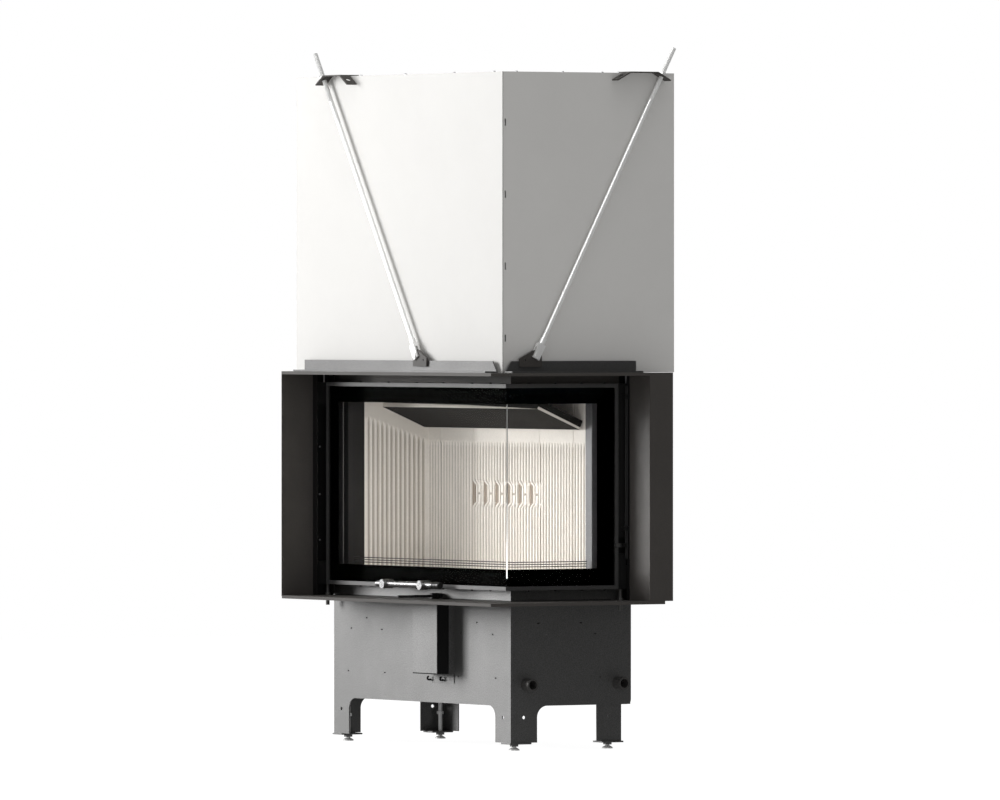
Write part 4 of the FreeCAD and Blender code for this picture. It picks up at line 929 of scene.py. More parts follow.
@dataclass
class Lining(Assembly):
    """Fluted boards that line the firebox, and the baffle over it."""

    thickness: float = 30.0
    bottom: float = 385.0
    top: float = 930.0
    left: float = -830.0
    right: float = -30.0
    face_left: float = -800.0
    face_rear: float = 246.0
    front: float = 49.0
    pitch: float = 14.0
    half_flute: float = 4.5
    depth: float = 5.0
    end_run: float = 20.0
    rear_flute_top: float = 789.0
    front_flute_top: float = 856.0
    middle: float = -415.0
    flute_start: float = 1.0
    flute_columns: int = 10
    rear_flutes: int = 57
    brick: float = 163.0
    joint: float = 0.5
    joint_count: int = 5
    joint_columns: tuple[float, ...] = (-1.6, -1.0, 1.0, 1.6)
    joint_reach: float = 1.2
    joint_extra: float = 1.5
    nozzle_height: float = 651.0
    nozzle_count: int = 6
    nozzle_pitch: float = 56.0
    nozzle_radius: float = 3.5
    nozzle_depth: float = 6.0
    recess_wall: float = 6.0
    recess_reach: float = 37.0
    recess_run: float = 17.0
    recess_depth: float = 5.5
    pinch: float = 8.0
    pinch_half: float = 26.0
    row_gap: float = 4.0
    low_rows: int = 8
    nozzle_rows: int = 61
    rest_rows: int = 4
    rear_tip_gap: float = 3.0
    rear_tip_over: float = 0.5
    rear_tip_rows: int = 20
    left_tip_over: float = 2.0
    left_tip_rows: int = 64
    # Share of painted shade at full depth in the left board's flutes
    left_groove_shade: float = 0.62
    # Painted shade under the baffle: its share, the height it grows over and how far below the flutes' tops
    # it starts
    top_shade_share: float = 0.22
    top_shade_run: float = 10.0
    top_shade_lead: float = 9.0
    edge_strips: tuple[float, float, float] = (11.0, 6.0, 4.5)
    edge_depth: float = 1.5
    edge_slope_drop: float = 23.0
    edge_shift: float = 9.7
    edge_lean: float = 3.5

    def dress(self) -> None:
        """Give the plain ceramic nodes their finishes."""
        self.finishes.dress_nodes(["hearth_bricks"], "lining_ceramic")
        self.finishes.dress_nodes(["baffle"], "baffle_ceramic")

    def build(self) -> None:
        """Make the two fluted boards and the baffle's pale edge."""
        self.add(self.rear_board(), Body.STAND, "lining_ceramic", "lining_ceramic", ("lining_rear",))
        self.add(self.left_board(), Body.STAND, "lining_ceramic", "lining_ceramic", ("lining_left",))
        self.add(self.baffle_edge(), Body.STAND, "baffle_edge", "baffle_ceramic")

    def flutes(self, along: np.ndarray, up: np.ndarray, first: float, last: float,
               ends: float | np.ndarray) -> np.ndarray:
        """Depth of plain flutes over a board.

        A flute's depth is the height of an ellipse across it, which also closes slowly towards its top end.

        Args:
            along: Distances along the board, one for each column or one for each point.
            up: Heights, one for each row.
            first: Middle of the first flute.
            last: Middle of the last flute.
            ends: Height of the flutes' top ends, for all columns or for each.

        Returns:
            Depths for each row and column.
        """
        number = np.clip(np.round((along - first) / self.pitch), 0, round((last - first) / self.pitch))
        across = (along - first - number * self.pitch) / self.half_flute
        over = np.clip((up[:, None] - ends + self.end_run) / self.end_run, 0.0, None)
        return self.depth * np.sqrt(np.clip(1.0 - across ** 2 - over ** 2, 0.0, 1.0))

    def top_shade(self, up: np.ndarray, ends: float | np.ndarray) -> np.ndarray:
        """Share of the painted shade under the baffle, which grows evenly from just below the flutes' top
        ends.

        Args:
            up: Heights, one for each row.
            ends: Height of the flutes' top ends, for all columns or for each.

        Returns:
            Shares for each row and column.
        """
        return self.top_shade_share * np.clip((up[:, None] - ends + self.top_shade_lead) / self.top_shade_run, 0.0, 1.0)

    def block(self, name: str, points: np.ndarray, back: np.ndarray, depth: np.ndarray,
              tone: np.ndarray) -> Piece:
        """Close a worked face to a board.

        The face's border is carried to the back plane, and a fan from one point covers the back.

        Args:
            name: Name of the piece.
            points: Places of the face in millimetres, by row and column.
            back: Move from the plain face to the back plane.
            depth: Depth of the face under its plain level at each point.
            tone: Share of the painted shade and of the joints' dark tone at each point.

        Returns:
            The piece.
        """
        flat = points - depth[..., None] * back / self.thickness
        framed = np.pad(points, ((1, 1), (1, 1), (0, 0)), mode="edge")
        behind = np.pad(flat, ((1, 1), (1, 1), (0, 0)), mode="edge") + back
        border = np.ones(framed.shape[:2], bool)
        border[1:-1, 1:-1] = False
        framed[border] = behind[border]
        rows, columns = framed.shape[:2]
        numbers = np.arange(rows * columns).reshape(rows, columns)
        loop = np.concatenate([numbers[0, :-1], numbers[:-1, -1], numbers[-1, :0:-1], numbers[:0:-1, 0]])
        centre = np.full(len(loop), rows * columns)
        fan = np.stack([centre, np.roll(loop, -1), loop], axis=-1)
        middle = framed[border].mean(axis=0)[None]
        whole = np.concatenate([framed.reshape(-1, 3), middle])
        made = Surface(places(whole), grid_faces(rows, columns), fan).piece(name)
        # Painted shade and dark joints, kept on the mesh for the finish
        shade_and_joints = np.concatenate([np.pad(tone, 1).ravel(), [0.0]]).astype(np.float32)
        made.data.attributes.new("shade_and_joints", "FLOAT", "POINT").data.foreach_set("value", shade_and_joints)
        return made

    def rear_rows(self) -> np.ndarray:
        """Heights of the rear face's rows, which lie close together at the nozzles and at the flutes' tips.

        Returns:
            Heights from the bottom to the top.
        """
        tips_low = self.rear_flute_top - self.end_run
        below = self.nozzle_height - self.recess_reach - self.row_gap
        above = self.nozzle_height + self.recess_reach + self.row_gap
        low = np.linspace(self.bottom, below, self.low_rows)
        band = self.nozzle_height + np.linspace(-self.recess_reach, self.recess_reach, self.nozzle_rows)
        rest = np.linspace(above, tips_low - self.rear_tip_gap, self.rest_rows)
        tips = np.linspace(tips_low, self.rear_flute_top + self.rear_tip_over, self.rear_tip_rows)
        return np.concatenate([low, band, rest, tips, [self.rear_flute_top + self.top_shade_run, self.top]])

    def rear_board(self) -> Piece:
        """Rear bricks: flutes that pinch into a shallow recess with a small hole at each air nozzle.

        Near a nozzle the flutes' pattern moves towards it by half a sine wave, the flute through its middle
        is filled, and the whole pattern sinks by a smooth ramp. A joint between bricks is a narrow deep cut.

        Returns:
            The piece.
        """
        joints = self.middle + self.brick * (np.arange(self.joint_count) - self.joint_count // 2)
        step = self.pitch / self.flute_columns
        along = np.arange(self.left, self.right + step / 2, step)
        beside = np.array(self.joint_columns) * self.joint
        along = np.unique(np.concatenate([along, (joints[:, None] + beside).ravel()]))
        up = self.rear_rows()
        first = self.left + self.flute_start + self.pitch / 2
        last = first + self.pitch * (self.rear_flutes - 1)
        numbers = np.arange(self.nozzle_count) - (self.nozzle_count - 1) / 2
        spots = self.middle + self.nozzle_pitch * numbers
        spots = first + self.pitch * np.round((spots - first) / self.pitch)
        nearest = spots[np.argmin(np.abs(along[None] - spots[:, None]), axis=0)]
        aside = along - nearest
        above = np.abs(up - self.nozzle_height)[:, None]
        ramp = np.clip((self.recess_reach - above) / self.recess_run, 0.0, 1.0)
        ramp = ramp * ramp * (3.0 - 2.0 * ramp)
        wave = np.sin(np.pi * np.clip(aside / self.pinch_half, -1.0, 1.0))
        moved = aside + self.pinch * ramp * wave
        cut = self.flutes(nearest + moved, up, first, last, self.rear_flute_top)
        cut = cut * np.where(np.abs(moved) < self.pitch / 2, 1.0 - ramp, 1.0)
        bore = np.sqrt(np.clip(1.0 - (aside ** 2 + above ** 2) / self.nozzle_radius ** 2, 0.0, 1.0))
        wall = np.clip((self.pinch_half - np.abs(aside)) / self.recess_wall, 0.0, 1.0)
        depth = cut + self.recess_depth * ramp * wall + self.nozzle_depth * bore
        seam = np.min(np.abs(along[None] - joints[:, None]), axis=0) < self.joint * self.joint_reach
        depth = np.where(seam, np.maximum(depth, self.depth + self.joint_extra), depth)
        # Painted shade: flutes darken with their depth and nozzle holes fully, with more under the baffle;
        # the joints are dark
        painted_shade = np.maximum((cut / self.depth) ** 2, bore) + self.top_shade(up, self.rear_flute_top)
        tone = np.where(seam, 1.0, painted_shade)
        face = np.stack(np.broadcast_arrays(along[None], self.face_rear + depth, up[:, None]), axis=-1)
        return self.block("rear_fluted_bricks", face, np.array([0.0, self.thickness, 0.0]), depth, tone)

    def left_board(self) -> Piece:
        """Left board: plain flutes whose top ends follow the baffle's slope in a straight line.

        Returns:
            The piece.
        """
        step = self.pitch / self.flute_columns
        along = np.arange(self.front, self.face_rear + step / 2, step)
        tips_low = self.rear_flute_top - self.end_run
        low = np.linspace(self.bottom, tips_low - self.row_gap, self.low_rows)
        tips = np.linspace(tips_low, self.front_flute_top + self.left_tip_over, self.left_tip_rows)
        up = np.concatenate([low, tips, [self.front_flute_top + self.top_shade_run, self.top]])
        width = self.face_rear - self.front
        count = int((width - 2 * self.flute_start) / self.pitch)
        first = self.front + (width - count * self.pitch) / 2 + self.pitch / 2
        number = np.clip(np.round((along - first) / self.pitch), 0, count - 1)
        share = (first + number * self.pitch - self.front) / width
        ends = self.front_flute_top + (self.rear_flute_top - self.front_flute_top) * share
        depth = self.flutes(along, up, first, first + (count - 1) * self.pitch, ends)
        face = np.stack(np.broadcast_arrays(self.face_left - depth, along[None], up[:, None]), axis=-1)
        back = np.array([-self.thickness, 0.0, 0.0])
        # Painted shade in the flutes, growing with their depth, and under the baffle
        tone = self.left_groove_shade * depth / self.depth + self.top_shade(up, ends)
        return self.block("left_fluted_board", face, back, depth, tone)

    def baffle_edge(self) -> Piece:
        """Pale lower strip on the baffle's front edge and right end, a thin band set on the plate.

        The band lies between two broken lines and is carried through its depth.

        Returns:
            The piece.
        """
        low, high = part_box("baffle")
        skin = self.edge_depth * MM
        end, top = high.x + skin, high.z - self.edge_slope_drop * MM
        rear = high.y - self.edge_shift * MM
        lower = np.array([[low.x, low.y, top], [end, low.y, top], [end, rear, low.z]])
        rise = np.array(self.edge_strips)
        upper = lower + np.stack([np.zeros(3), np.full(3, self.edge_lean), rise], axis=-1) * MM
        made = plate(upper, lower, np.array([-skin, skin, 0.0]))
        return made.piece("baffle_pale_edge", smooth=False)


@dataclass
class Firebox(Assembly):
    """Welded firebox, its door bars and the flue collar."""

    guard_radius: float = 1.2
    guard_heights: tuple[float, float, float] = (471.0, 477.0, 483.0)
    guard_inset: float = 14.0
    guard_bend: float = 12.0
    guard_left: float = -796.0
    guard_rear: float = 240.0

    def dress(self) -> None:
        """Give the firebox's nodes their finishes."""
        inside = ["firebox_floor", "firebox_left_wall", "firebox_rear_wall", "firebox_roof"]
        self.finishes.dress_nodes(inside + ["flue_collar"], "firebox_paint")
        self.finishes.dress_nodes(["door_sill"], "plinth_paint")
        self.finishes.dress_nodes(["door_header"], "frame_paint")
        self.finishes.dress_nodes(["firebox_right_post"], "post_paint")

    def build(self) -> None:
        """Add the low log guard behind the panes."""
        self.add(self.log_guard(), Body.STAND, "firebox_paint", "firebox_paint")

    def log_guard(self) -> Piece:
        """Thin round rods along both panes: a circle carried along the front and round the corner.

        Returns:
            The piece.
        """
        turn = np.linspace(0.0, np.pi / 2, BEND_STEPS)
        corner_x = -self.guard_inset - self.guard_bend + self.guard_bend * np.sin(turn)
        corner_y = self.guard_inset + self.guard_bend - self.guard_bend * np.cos(turn)
        x = np.concatenate([[self.guard_left], corner_x, [-self.guard_inset]])
        y = np.concatenate([[self.guard_inset], corner_y, [self.guard_rear]])
        path = np.stack([x, y, np.zeros_like(x)], axis=-1)
        along = unit(np.gradient(path, axis=0))
        second = np.array(UP)
        section = ring(WIRE_SIDES, self.guard_radius * MM, self.guard_radius * MM)
        one = swept(path * MM, np.cross(second, along), second, section)
        spots = upright_row(0.0, 0.0, self.guard_heights)
        return one.repeated(places(spots)).piece("log_guard_rods")


@dataclass
class Surround(Assembly):
    """Deep dark frame round the door, the lintel angles and their tie rods."""

    tie_stand: float = 82.0
    pin_height: float = 1014.0
    housing_top: float = 1741.0
    bracket_sheet: float = 3.0
    ear_length: float = 44.0
    rod_start: float = 26.0
    rod_tail: float = 83.0
    rod_radius: float = 6.0
    rod_sides: int = 18
    rod_rings: int = 12
    thread_root: float = 5.2
    thread_pitch: float = 1.75
    thread_rings: int = 6
    thread_lead: float = 0.3
    top_thread: float = 150.0
    feet: tuple[float, float] = (325.0, 25.0)
    heads: tuple[float, float] = (770.0, 387.0)

    def dress(self) -> None:
        """Give the surround's nodes their finishes."""
        plates = ["surround_" + name for name in ("top_plate", "bottom_plate", "left_wing", "right_wing")]
        self.finishes.dress_nodes(plates + ["tie_lugs", "tie_brackets"], "frame_paint")
        self.finishes.dress_nodes(["lintel_angle_front", "lintel_angle_right"], "lintel_shaded_paint")
        self.finishes.dress_nodes(["tie_forks", "tie_fasteners"], "bright_steel")

    def build(self) -> None:
        """Make the tie rods with their threads."""
        front = self.rod(Side.FRONT, self.feet[0], self.heads[0])
        right = self.rod(Side.RIGHT, self.feet[1], self.heads[1])
        rods = front.joined(right).piece("threaded_tie_rods")
        self.add(rods, Body.STAND, "bright_steel", "bright_steel", ("tie_rods",))

    def rod(self, side: Side, foot: float, head: float) -> Surface:
        """One tie rod: a round bar whose upper end has a cut thread.

        The thread's radius falls from crest to root and back once in each pitch, and the place of the crest
        moves along by one pitch in a turn.

        Args:
            side: The glazed side that the rod stands before.
            foot: Distance of its pin along that side.
            head: Distance of its bracket's fold along that side.

        Returns:
            The rod.
        """
        run = head - foot
        rise = self.housing_top + self.bracket_sheet / 2 - self.pin_height
        lean = math.acos(-self.ear_length / 2 / math.hypot(run, rise)) - math.atan2(rise, run)
        ear = (run + self.ear_length / 2 * math.cos(lean)) / math.sin(lean)
        end = ear + self.rod_tail
        thread = end - self.top_thread
        plain = np.linspace(self.rod_start, thread, self.rod_rings)
        cut = np.arange(thread + self.thread_lead, end, self.thread_pitch / self.thread_rings)
        distance = np.concatenate([plain, cut, [end]])
        turn = np.arange(self.rod_sides) / self.rod_sides
        phase = np.abs(((distance[:, None] / self.thread_pitch - turn[None]) % 1.0) * 2.0 - 1.0)
        radius = self.rod_radius - (self.rod_radius - self.thread_root) * phase
        radius = np.where((distance > thread)[:, None], radius, self.rod_radius)
        way = side_place(side, np.array(math.sin(lean)), np.array(0.0), np.array(math.cos(lean)))
        start = side_place(side, np.array(foot), np.array(self.tie_stand), np.array(self.pin_height))
        path = places(start + distance[:, None] * way)
        section = ring(self.rod_sides)[None] * radius[..., None] * MM
        return swept(path, *square_to(way), section)


@dataclass
class Housing(Assembly):
    """Pale sheet housing that the door lifts into."""

    stand: float = 67.0
    bottom: float = 970.0
    top: float = 1741.0
    screw_inset: float = 8.0
    screw_radius: float = 4.0
    screw_height: float = 2.6
    front_screws: tuple[float, ...] = (-15.0, 180.0, 420.0, 640.0, 700.0, 850.0)
    right_screws: tuple[float, ...] = (-20.0, 120.0, 240.0, 290.0, 345.0, 430.0)
    seam_start: float = -65.2
    seam_width: float = 1.3
    seam_skin: float = 0.12

    def dress(self) -> None:
        """Give the housing's nodes their finishes."""
        names = ["front", "right", "left", "rear", "top"]
        self.finishes.dress_nodes(["housing_" + name + "_panel" for name in names], "housing_paint")

    def build(self) -> None:
        """Add the screws along the top edges and the painted shadow in the seam at the corner."""
        stand = self.stand - self.screw_inset
        front = side_place(Side.FRONT, np.array(self.front_screws), stand, self.top)
        right = side_place(Side.RIGHT, np.array(self.right_screws), stand, self.top)
        heads = screw_heads(np.concatenate([front, right]), UP, self.screw_radius, self.screw_height)
        self.add(heads.piece("housing_top_screws"), Body.STAND, "lift_steel", "lift_steel")
        # Painted shadow: a dark band in the corner seam
        self.add(self.seam(), Body.STAND, "seam_shadow", "housing_paint")

    def seam(self) -> Piece:
        """Painted shadow in the joint beside the front panel's edge: a thin dark flat band set in the seam.

        Returns:
            The piece.
        """
        line = upright_row(self.stand, self.seam_start, (self.bottom, self.top))
        far = line - np.array([0.0, self.seam_width, 0.0])
        band = plate(places(line), places(far), np.array([self.seam_skin * MM, 0.0, 0.0]))
        return band.piece("housing_seam_shadow", smooth=False)


@dataclass
class Door(Assembly):
    """Lift-up door: panes with printed borders, rope seal, handle and clamp screws."""

    pane_left: float = -838.0
    pane_rear: float = 292.0
    pane_bottom: float = 422.0
    pane_top: float = 931.0
    pane_out: float = 38.0
    pane_inner: float = 33.0
    border_left: float = 43.0
    border_rear: float = 51.0
    border_top: float = 41.0
    border_bottom: float = 44.0
    border_depth: float = 0.15
    border_gap: float = 0.2
    border_behind: float = 0.05
    seal_out: float = 4.15
    seal_half_depth: float = 3.7
    seal_half_width: float = 4.8
    seal_left: float = -833.0
    seal_rear: float = 287.0
    seal_low: float = 429.0
    seal_high: float = 924.0
    seal_bend: float = 9.0
    seal_corner_bend: float = 2.0
    seal_run_steps: int = 38
    seal_sides: int = 12
    door_bottom: float = 412.0
    door_top: float = 941.0
    clamp_stand: float = 24.0
    clamp_front: tuple[float, ...] = (60.0, 150.0, 290.0, 420.0, 560.0, 700.0)
    clamp_right: tuple[float, ...] = (40.0, 120.0, 200.0, 270.0)
    clamp_radius: float = 4.0
    clamp_height: float = 3.4
    cap_core: float = 1.0
    cap_gap: float = 0.2
    cap_wall: float = 1.0
    cap_collar: float = 2.0
    cap_length: float = 35.0
    cap_round: float = 3.0
    cap_sides: int = 28
    edge_bottom: float = 443.0
    edge_top: float = 889.0
    edge_foot: float = 560.0
    edge_taper: float = 60.0
    edge_width: float = 2.2
    edge_foot_width: float = 3.6
    edge_inset: float = 0.7
    edge_proud: float = 0.05
    edge_steps: int = 30

    def dress(self) -> None:
        """Give the door's nodes their finishes, and let lamplight through the panes."""
        self.finishes.dress_nodes(["door_frame"], "lintel_shaded_paint")
        self.finishes.dress_nodes(["door_carriages", "guide_rails", "latch_rod"], "door_paint")
        self.finishes.dress_nodes(["handle_posts", "handle_bar"], "polished_steel")
        self.finishes.dress_nodes(["front_glass", "side_glass"], "door_glass")
        self.finishes.dress_nodes(["door_stop_bolts"], "sleeve_steel")
        for name in ("front_glass", "side_glass"):
            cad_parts[name].visible_shadow = False

    def build(self) -> None:
        """Make the printed borders, the ground pane edge, the rope seal, the clamp screws and the cap."""
        for side, end, width in ((Side.FRONT, -self.pane_left, self.border_left),
                                 (Side.RIGHT, self.pane_rear, self.border_rear)):
            self.add(self.border(side, end, width), Body.DOOR, "printed_border", "door_glass")
        self.add(self.pane_edge(), Body.DOOR, "pane_edge", "door_glass")
        self.add(self.seal(), Body.DOOR, "rope_seal", "rope_seal", ("door_seal",))
        self.add(self.clamps(), Body.DOOR, "door_paint", "door_paint")
        self.add(self.grip_end(), Body.DOOR, "lever_steel", "door_paint")

    def grip_end(self) -> Piece:
        """Dark cap on the handle bar's right end: a sleeve with a quarter-circle nose, turned about the bar.

        Returns:
            The piece.
        """
        low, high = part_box("handle_bar")
        start = np.array([high.x, (low.y + high.y) / 2, (low.z + high.z) / 2])
        radius = (high.z - low.z) / 2 / MM + self.cap_wall
        turn = np.linspace(0.0, np.pi / 2, BEND_STEPS)
        rim = radius - self.cap_round + self.cap_round * np.cos(turn)
        nose = np.stack([rim, self.cap_length - self.cap_round + self.cap_round * np.sin(turn)], axis=-1)
        sleeve = [(self.cap_core, self.cap_gap), (radius, self.cap_gap), (radius, self.cap_collar)]
        profile = np.concatenate([sleeve, nose, [(self.cap_core, self.cap_length)]])
        return lathe(profile, start, np.array([1.0, 0.0, 0.0]), self.cap_sides).piece("handle_end_cap")

    def border(self, side: Side, end: float, width: float) -> Piece:
        """Printed border of one pane: a flat band along its top, far end and bottom, behind the glass.

        Args:
            side: The pane's side.
            end: Distance of the pane's far end from the body's corner.
            width: Width of the border at the far end.

        Returns:
            The piece.
        """
        near = -self.pane_inner + self.border_gap
        out = self.pane_inner - self.border_behind
        low, high = self.pane_bottom, self.pane_top
        outer_along = np.array([near, end, end, near])
        outer_up = np.array([high, high, low, low])
        inner_along = np.array([near, end - width, end - width, near])
        inner_up = np.array([high - self.border_top] * 2 + [low + self.border_bottom] * 2)
        outer = side_place(side, outer_along, out, outer_up)
        inner = side_place(side, inner_along, out, inner_up)
        depth = side_place(side, np.array(0.0), np.array(-self.border_depth), np.array(0.0)) * MM
        band = plate(places(outer), places(inner), depth)
        if side is Side.FRONT:
            band = band.turned_out()
        return band.piece("printed_border_" + side.value, smooth=False)

    def pane_edge(self) -> Piece:
        """Ground edge of the front pane at the glazed corner: an upright band that widens to its foot, with a
        painted glow.

        Returns:
            The piece.
        """
        height = np.linspace(self.edge_bottom, self.edge_top, self.edge_steps)
        share = np.clip((self.edge_foot - height) / self.edge_taper, 0.0, 1.0)
        width = self.edge_width + (self.edge_foot_width - self.edge_width) * share
        near = np.broadcast_to(-self.pane_inner - self.edge_inset, height.shape)
        out = np.broadcast_to(self.pane_out + self.edge_proud, height.shape)
        line = np.stack([out, near, height], axis=-1)
        far = np.stack([out, near - width, height], axis=-1)
        band = plate(places(line), places(far), np.array([-2 * self.edge_proud * MM, 0.0, 0.0]))
        return band.turned_out().piece("pane_ground_edge", smooth=False)

    def seal(self) -> Piece:
        """Rope seal: an oval carried round the back of the door, round its corner and up its two ends.

        The path is a straight run between each two corners and a parabola round each corner.

        Returns:
            The piece.
        """
        out, left, rear = self.seal_out, self.seal_left, self.seal_rear
        plan = np.array([(left, -out), (out, -out), (out, rear), (out, rear), (out, -out), (left, -out)])
        heights = np.repeat([self.seal_low, self.seal_high], 3)
        here = np.column_stack([plan, heights])
        wide, tight = self.seal_bend, self.seal_corner_bend
        bend = np.array([wide, tight, wide, wide, tight, wide])[:, None]
        back = unit(np.roll(here, 1, axis=0) - here)
        ahead = unit(np.roll(here, -1, axis=0) - here)
        share = np.linspace(0.0, 1.0, BEND_STEPS)[None, :, None]
        start, finish = (here + back * bend)[:, None], (here + ahead * bend)[:, None]
        arc = (1 - share) ** 2 * start + 2 * share * (1 - share) * here[:, None] + share ** 2 * finish
        run = np.linspace(0.0, 1.0, self.seal_run_steps + 2)[None, 1:-1, None]
        straight = finish * (1 - run) + np.roll(start, -1, axis=0) * run
        path = np.concatenate([arc, straight], axis=1).reshape(-1, 3)
        front, right = (0.0, -1.0, 0.0), (1.0, 0.0, 0.0)
        before = np.array([front, front, right, right, right, front])[:, None]
        after = np.array([front, right, right, right, front, front])[:, None]
        turn_looks = before * (1 - share) + after * share
        run_looks = np.repeat(after, self.seal_run_steps, axis=1)
        outward = unit(np.concatenate([turn_looks, run_looks], axis=1).reshape(-1, 3))
        along = unit(np.roll(path, -1, axis=0) - np.roll(path, 1, axis=0))
        across = unit(np.cross(along, outward))
        section = ring(self.seal_sides, self.seal_half_width * MM, self.seal_half_depth * MM)
        return swept(places(path), across, outward, section, True).turned_out().piece("rope_door_seal")

    def clamps(self) -> Piece:
        """Heads of the pane clamps' screws under the bottom rail and over the top rail.

        Returns:
            The piece.
        """
        front = side_place(Side.FRONT, np.array(self.clamp_front), self.clamp_stand, 0.0)
        right = side_place(Side.RIGHT, np.array(self.clamp_right), self.clamp_stand, 0.0)
        spots = np.concatenate([front, right])
        low, high = np.array([0.0, 0.0, self.door_bottom]), np.array([0.0, 0.0, self.door_top])
        under = screw_heads(spots + low, DOWN, self.clamp_radius, self.clamp_height)
        over = screw_heads(spots + high, UP, self.clamp_radius, self.clamp_height)
        return under.joined(over).piece("pane_clamp_screws")


@dataclass
class LiftGear(Assembly):
    """Rails, pulleys, cables and counterweights in the housing."""

    pulley_height: float = 1680.0
    pulley_radius: float = 39.0
    cable_radius: float = 2.5
    lay: float = 22.0
    strands: int = 6
    strand_relief: float = 0.14
    cable_sides: int = 24
    door_rings: int = 220
    pulley_rings: int = 60
    weight_rings: int = 60
    door_top: float = 941.0
    eye_top: float = 1640.0
    left_foot: tuple[float, float] = (-860.0, -39.5)
    right_foot: tuple[float, float] = (27.0, 333.5)
    left_shift: float = 53.0
    right_shift: float = 19.0
    rail_face: float = -872.0
    rail_middle: float = -45.0
    rail_screws: tuple[float, ...] = (527.0, 647.0, 772.0, 894.0)
    rail_screw_radius: float = 3.2
    rail_screw_height: float = 2.0

    def dress(self) -> None:
        """Give the lift gear's nodes their finishes."""
        self.finishes.dress_nodes(["counterweight_left", "counterweight_right"], "weight_iron")
        self.finishes.dress_nodes(["pulley_brackets", "pulley_left", "pulley_right"], "lift_steel")

    def build(self) -> None:
        """Make the wire cables and the left rail's screws."""
        self.cable("left", self.left_foot, self.left_shift, Body.LEFT_WEIGHT)
        self.cable("right", self.right_foot, self.right_shift, Body.RIGHT_WEIGHT)
        spots = upright_row(self.rail_face, self.rail_middle, self.rail_screws)
        heads = screw_heads(spots, (1.0, 0.0, 0.0), self.rail_screw_radius, self.rail_screw_height)
        self.add(heads.piece("left_rail_screws"), Body.STAND, "lift_steel", "lift_steel")

    def wire(self, path: np.ndarray, first: np.ndarray, along: np.ndarray) -> Surface:
        """A laid cable: its strands show as lobes that turn once round in each lay.

        Args:
            path: Points of the cable's line, in millimetres.
            first: First section direction, one for all points.
            along: Direction of the line, one for all points or one for each.

        Returns:
            The cable.
        """
        steps = np.concatenate([[0.0], np.cumsum(np.linalg.norm(np.diff(path, axis=0), axis=1))])
        turn = 2 * np.pi * np.arange(self.cable_sides) / self.cable_sides
        wave = np.abs(np.cos(self.strands / 2 * (turn[None] - 2 * np.pi * steps[:, None] / self.lay)))
        radius = self.cable_radius * (1.0 - self.strand_relief + self.strand_relief * wave)
        section = ring(self.cable_sides)[None] * radius[..., None] * MM
        return swept(places(path), first, np.cross(along, first), section)

    def cable(self, hand: str, foot: tuple[float, float], shift: float, weight: Body) -> None:
        """One lift cable: a run up from the door, a half turn over the pulley and a run down to the weight.

        Args:
            hand: Left or right.
            foot: Place in plan of the door's run.
            shift: Distance that the weight's run lies to the left of it.
            weight: Body of the counterweight.
        """
        back = math.sqrt((2 * self.pulley_radius) ** 2 - shift ** 2)
        across = np.array([-shift, back, 0.0]) / (2 * self.pulley_radius)
        flat = np.array([-across[1], across[0], 0.0])
        start = np.array([*foot, 0.0])
        up = np.array(UP)
        rise = np.linspace(self.door_top, self.pulley_height, self.door_rings)
        run = start + rise[:, None] * up
        turn = np.linspace(np.pi, 0.0, self.pulley_rings)[:, None]
        centre = start + self.pulley_radius * across + self.pulley_height * up
        over = centre + self.pulley_radius * (np.cos(turn) * across + np.sin(turn) * up)
        along = np.sin(turn) * across - np.cos(turn) * up
        fall = np.linspace(self.pulley_height, self.eye_top, self.weight_rings)
        drop = start + 2 * self.pulley_radius * across + fall[:, None] * up
        bent = self.wire(over, flat, along).piece(hand + "_cable_over_pulley")
        self.add(bent, Body.STAND, "lift_steel", "lift_steel", ("lift_cables",))
        ends = (("door", self.wire(run, flat, up), Body.DOOR, run),
                ("weight", self.wire(drop, flat, -up), weight, drop[::-1]))
        for end, surface, body, line in ends:
            piece = surface.piece(f"{hand}_cable_to_{end}")
            self.finishes.dress(piece, "lift_steel")
            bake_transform(piece)
            LOG.info("%s between %s and the stand", piece.name, body.value)


@dataclass(frozen=True)
class Lamp:
    """A rectangular soft lamp with its place and aim in metres, its width and height, and its watts."""

    name: str
    spot: Vec
    aim: Vec
    size: tuple[float, float]
    power: float
    cone: float = 180.0
    mirrored: bool = False
    diffuse: bool = True

    def build(self) -> None:
        """Add the lamp, which only lights matt or glossy surfaces where its fields say so."""
        data = bpy.data.lights.new(self.name, "AREA")
        data.spread = math.radians(self.cone)
        data.shape = "RECTANGLE"
        data.size, data.size_y = self.size
        data.energy = self.power
        made = bpy.data.objects.new(self.name, data)
        away = np.array(self.spot, float) - np.array(self.aim, float)
        turn = math.atan2(away[0], -away[1])
        tilt = math.atan2(math.hypot(away[0], away[1]), away[2])
        made.location = self.spot
        made.rotation_euler = (tilt, 0.0, turn)
        made.visible_camera = False
        made.visible_glossy = self.mirrored
        made.visible_diffuse = self.diffuse
        made.visible_transmission = False
        bpy.context.scene.collection.objects.link(made)


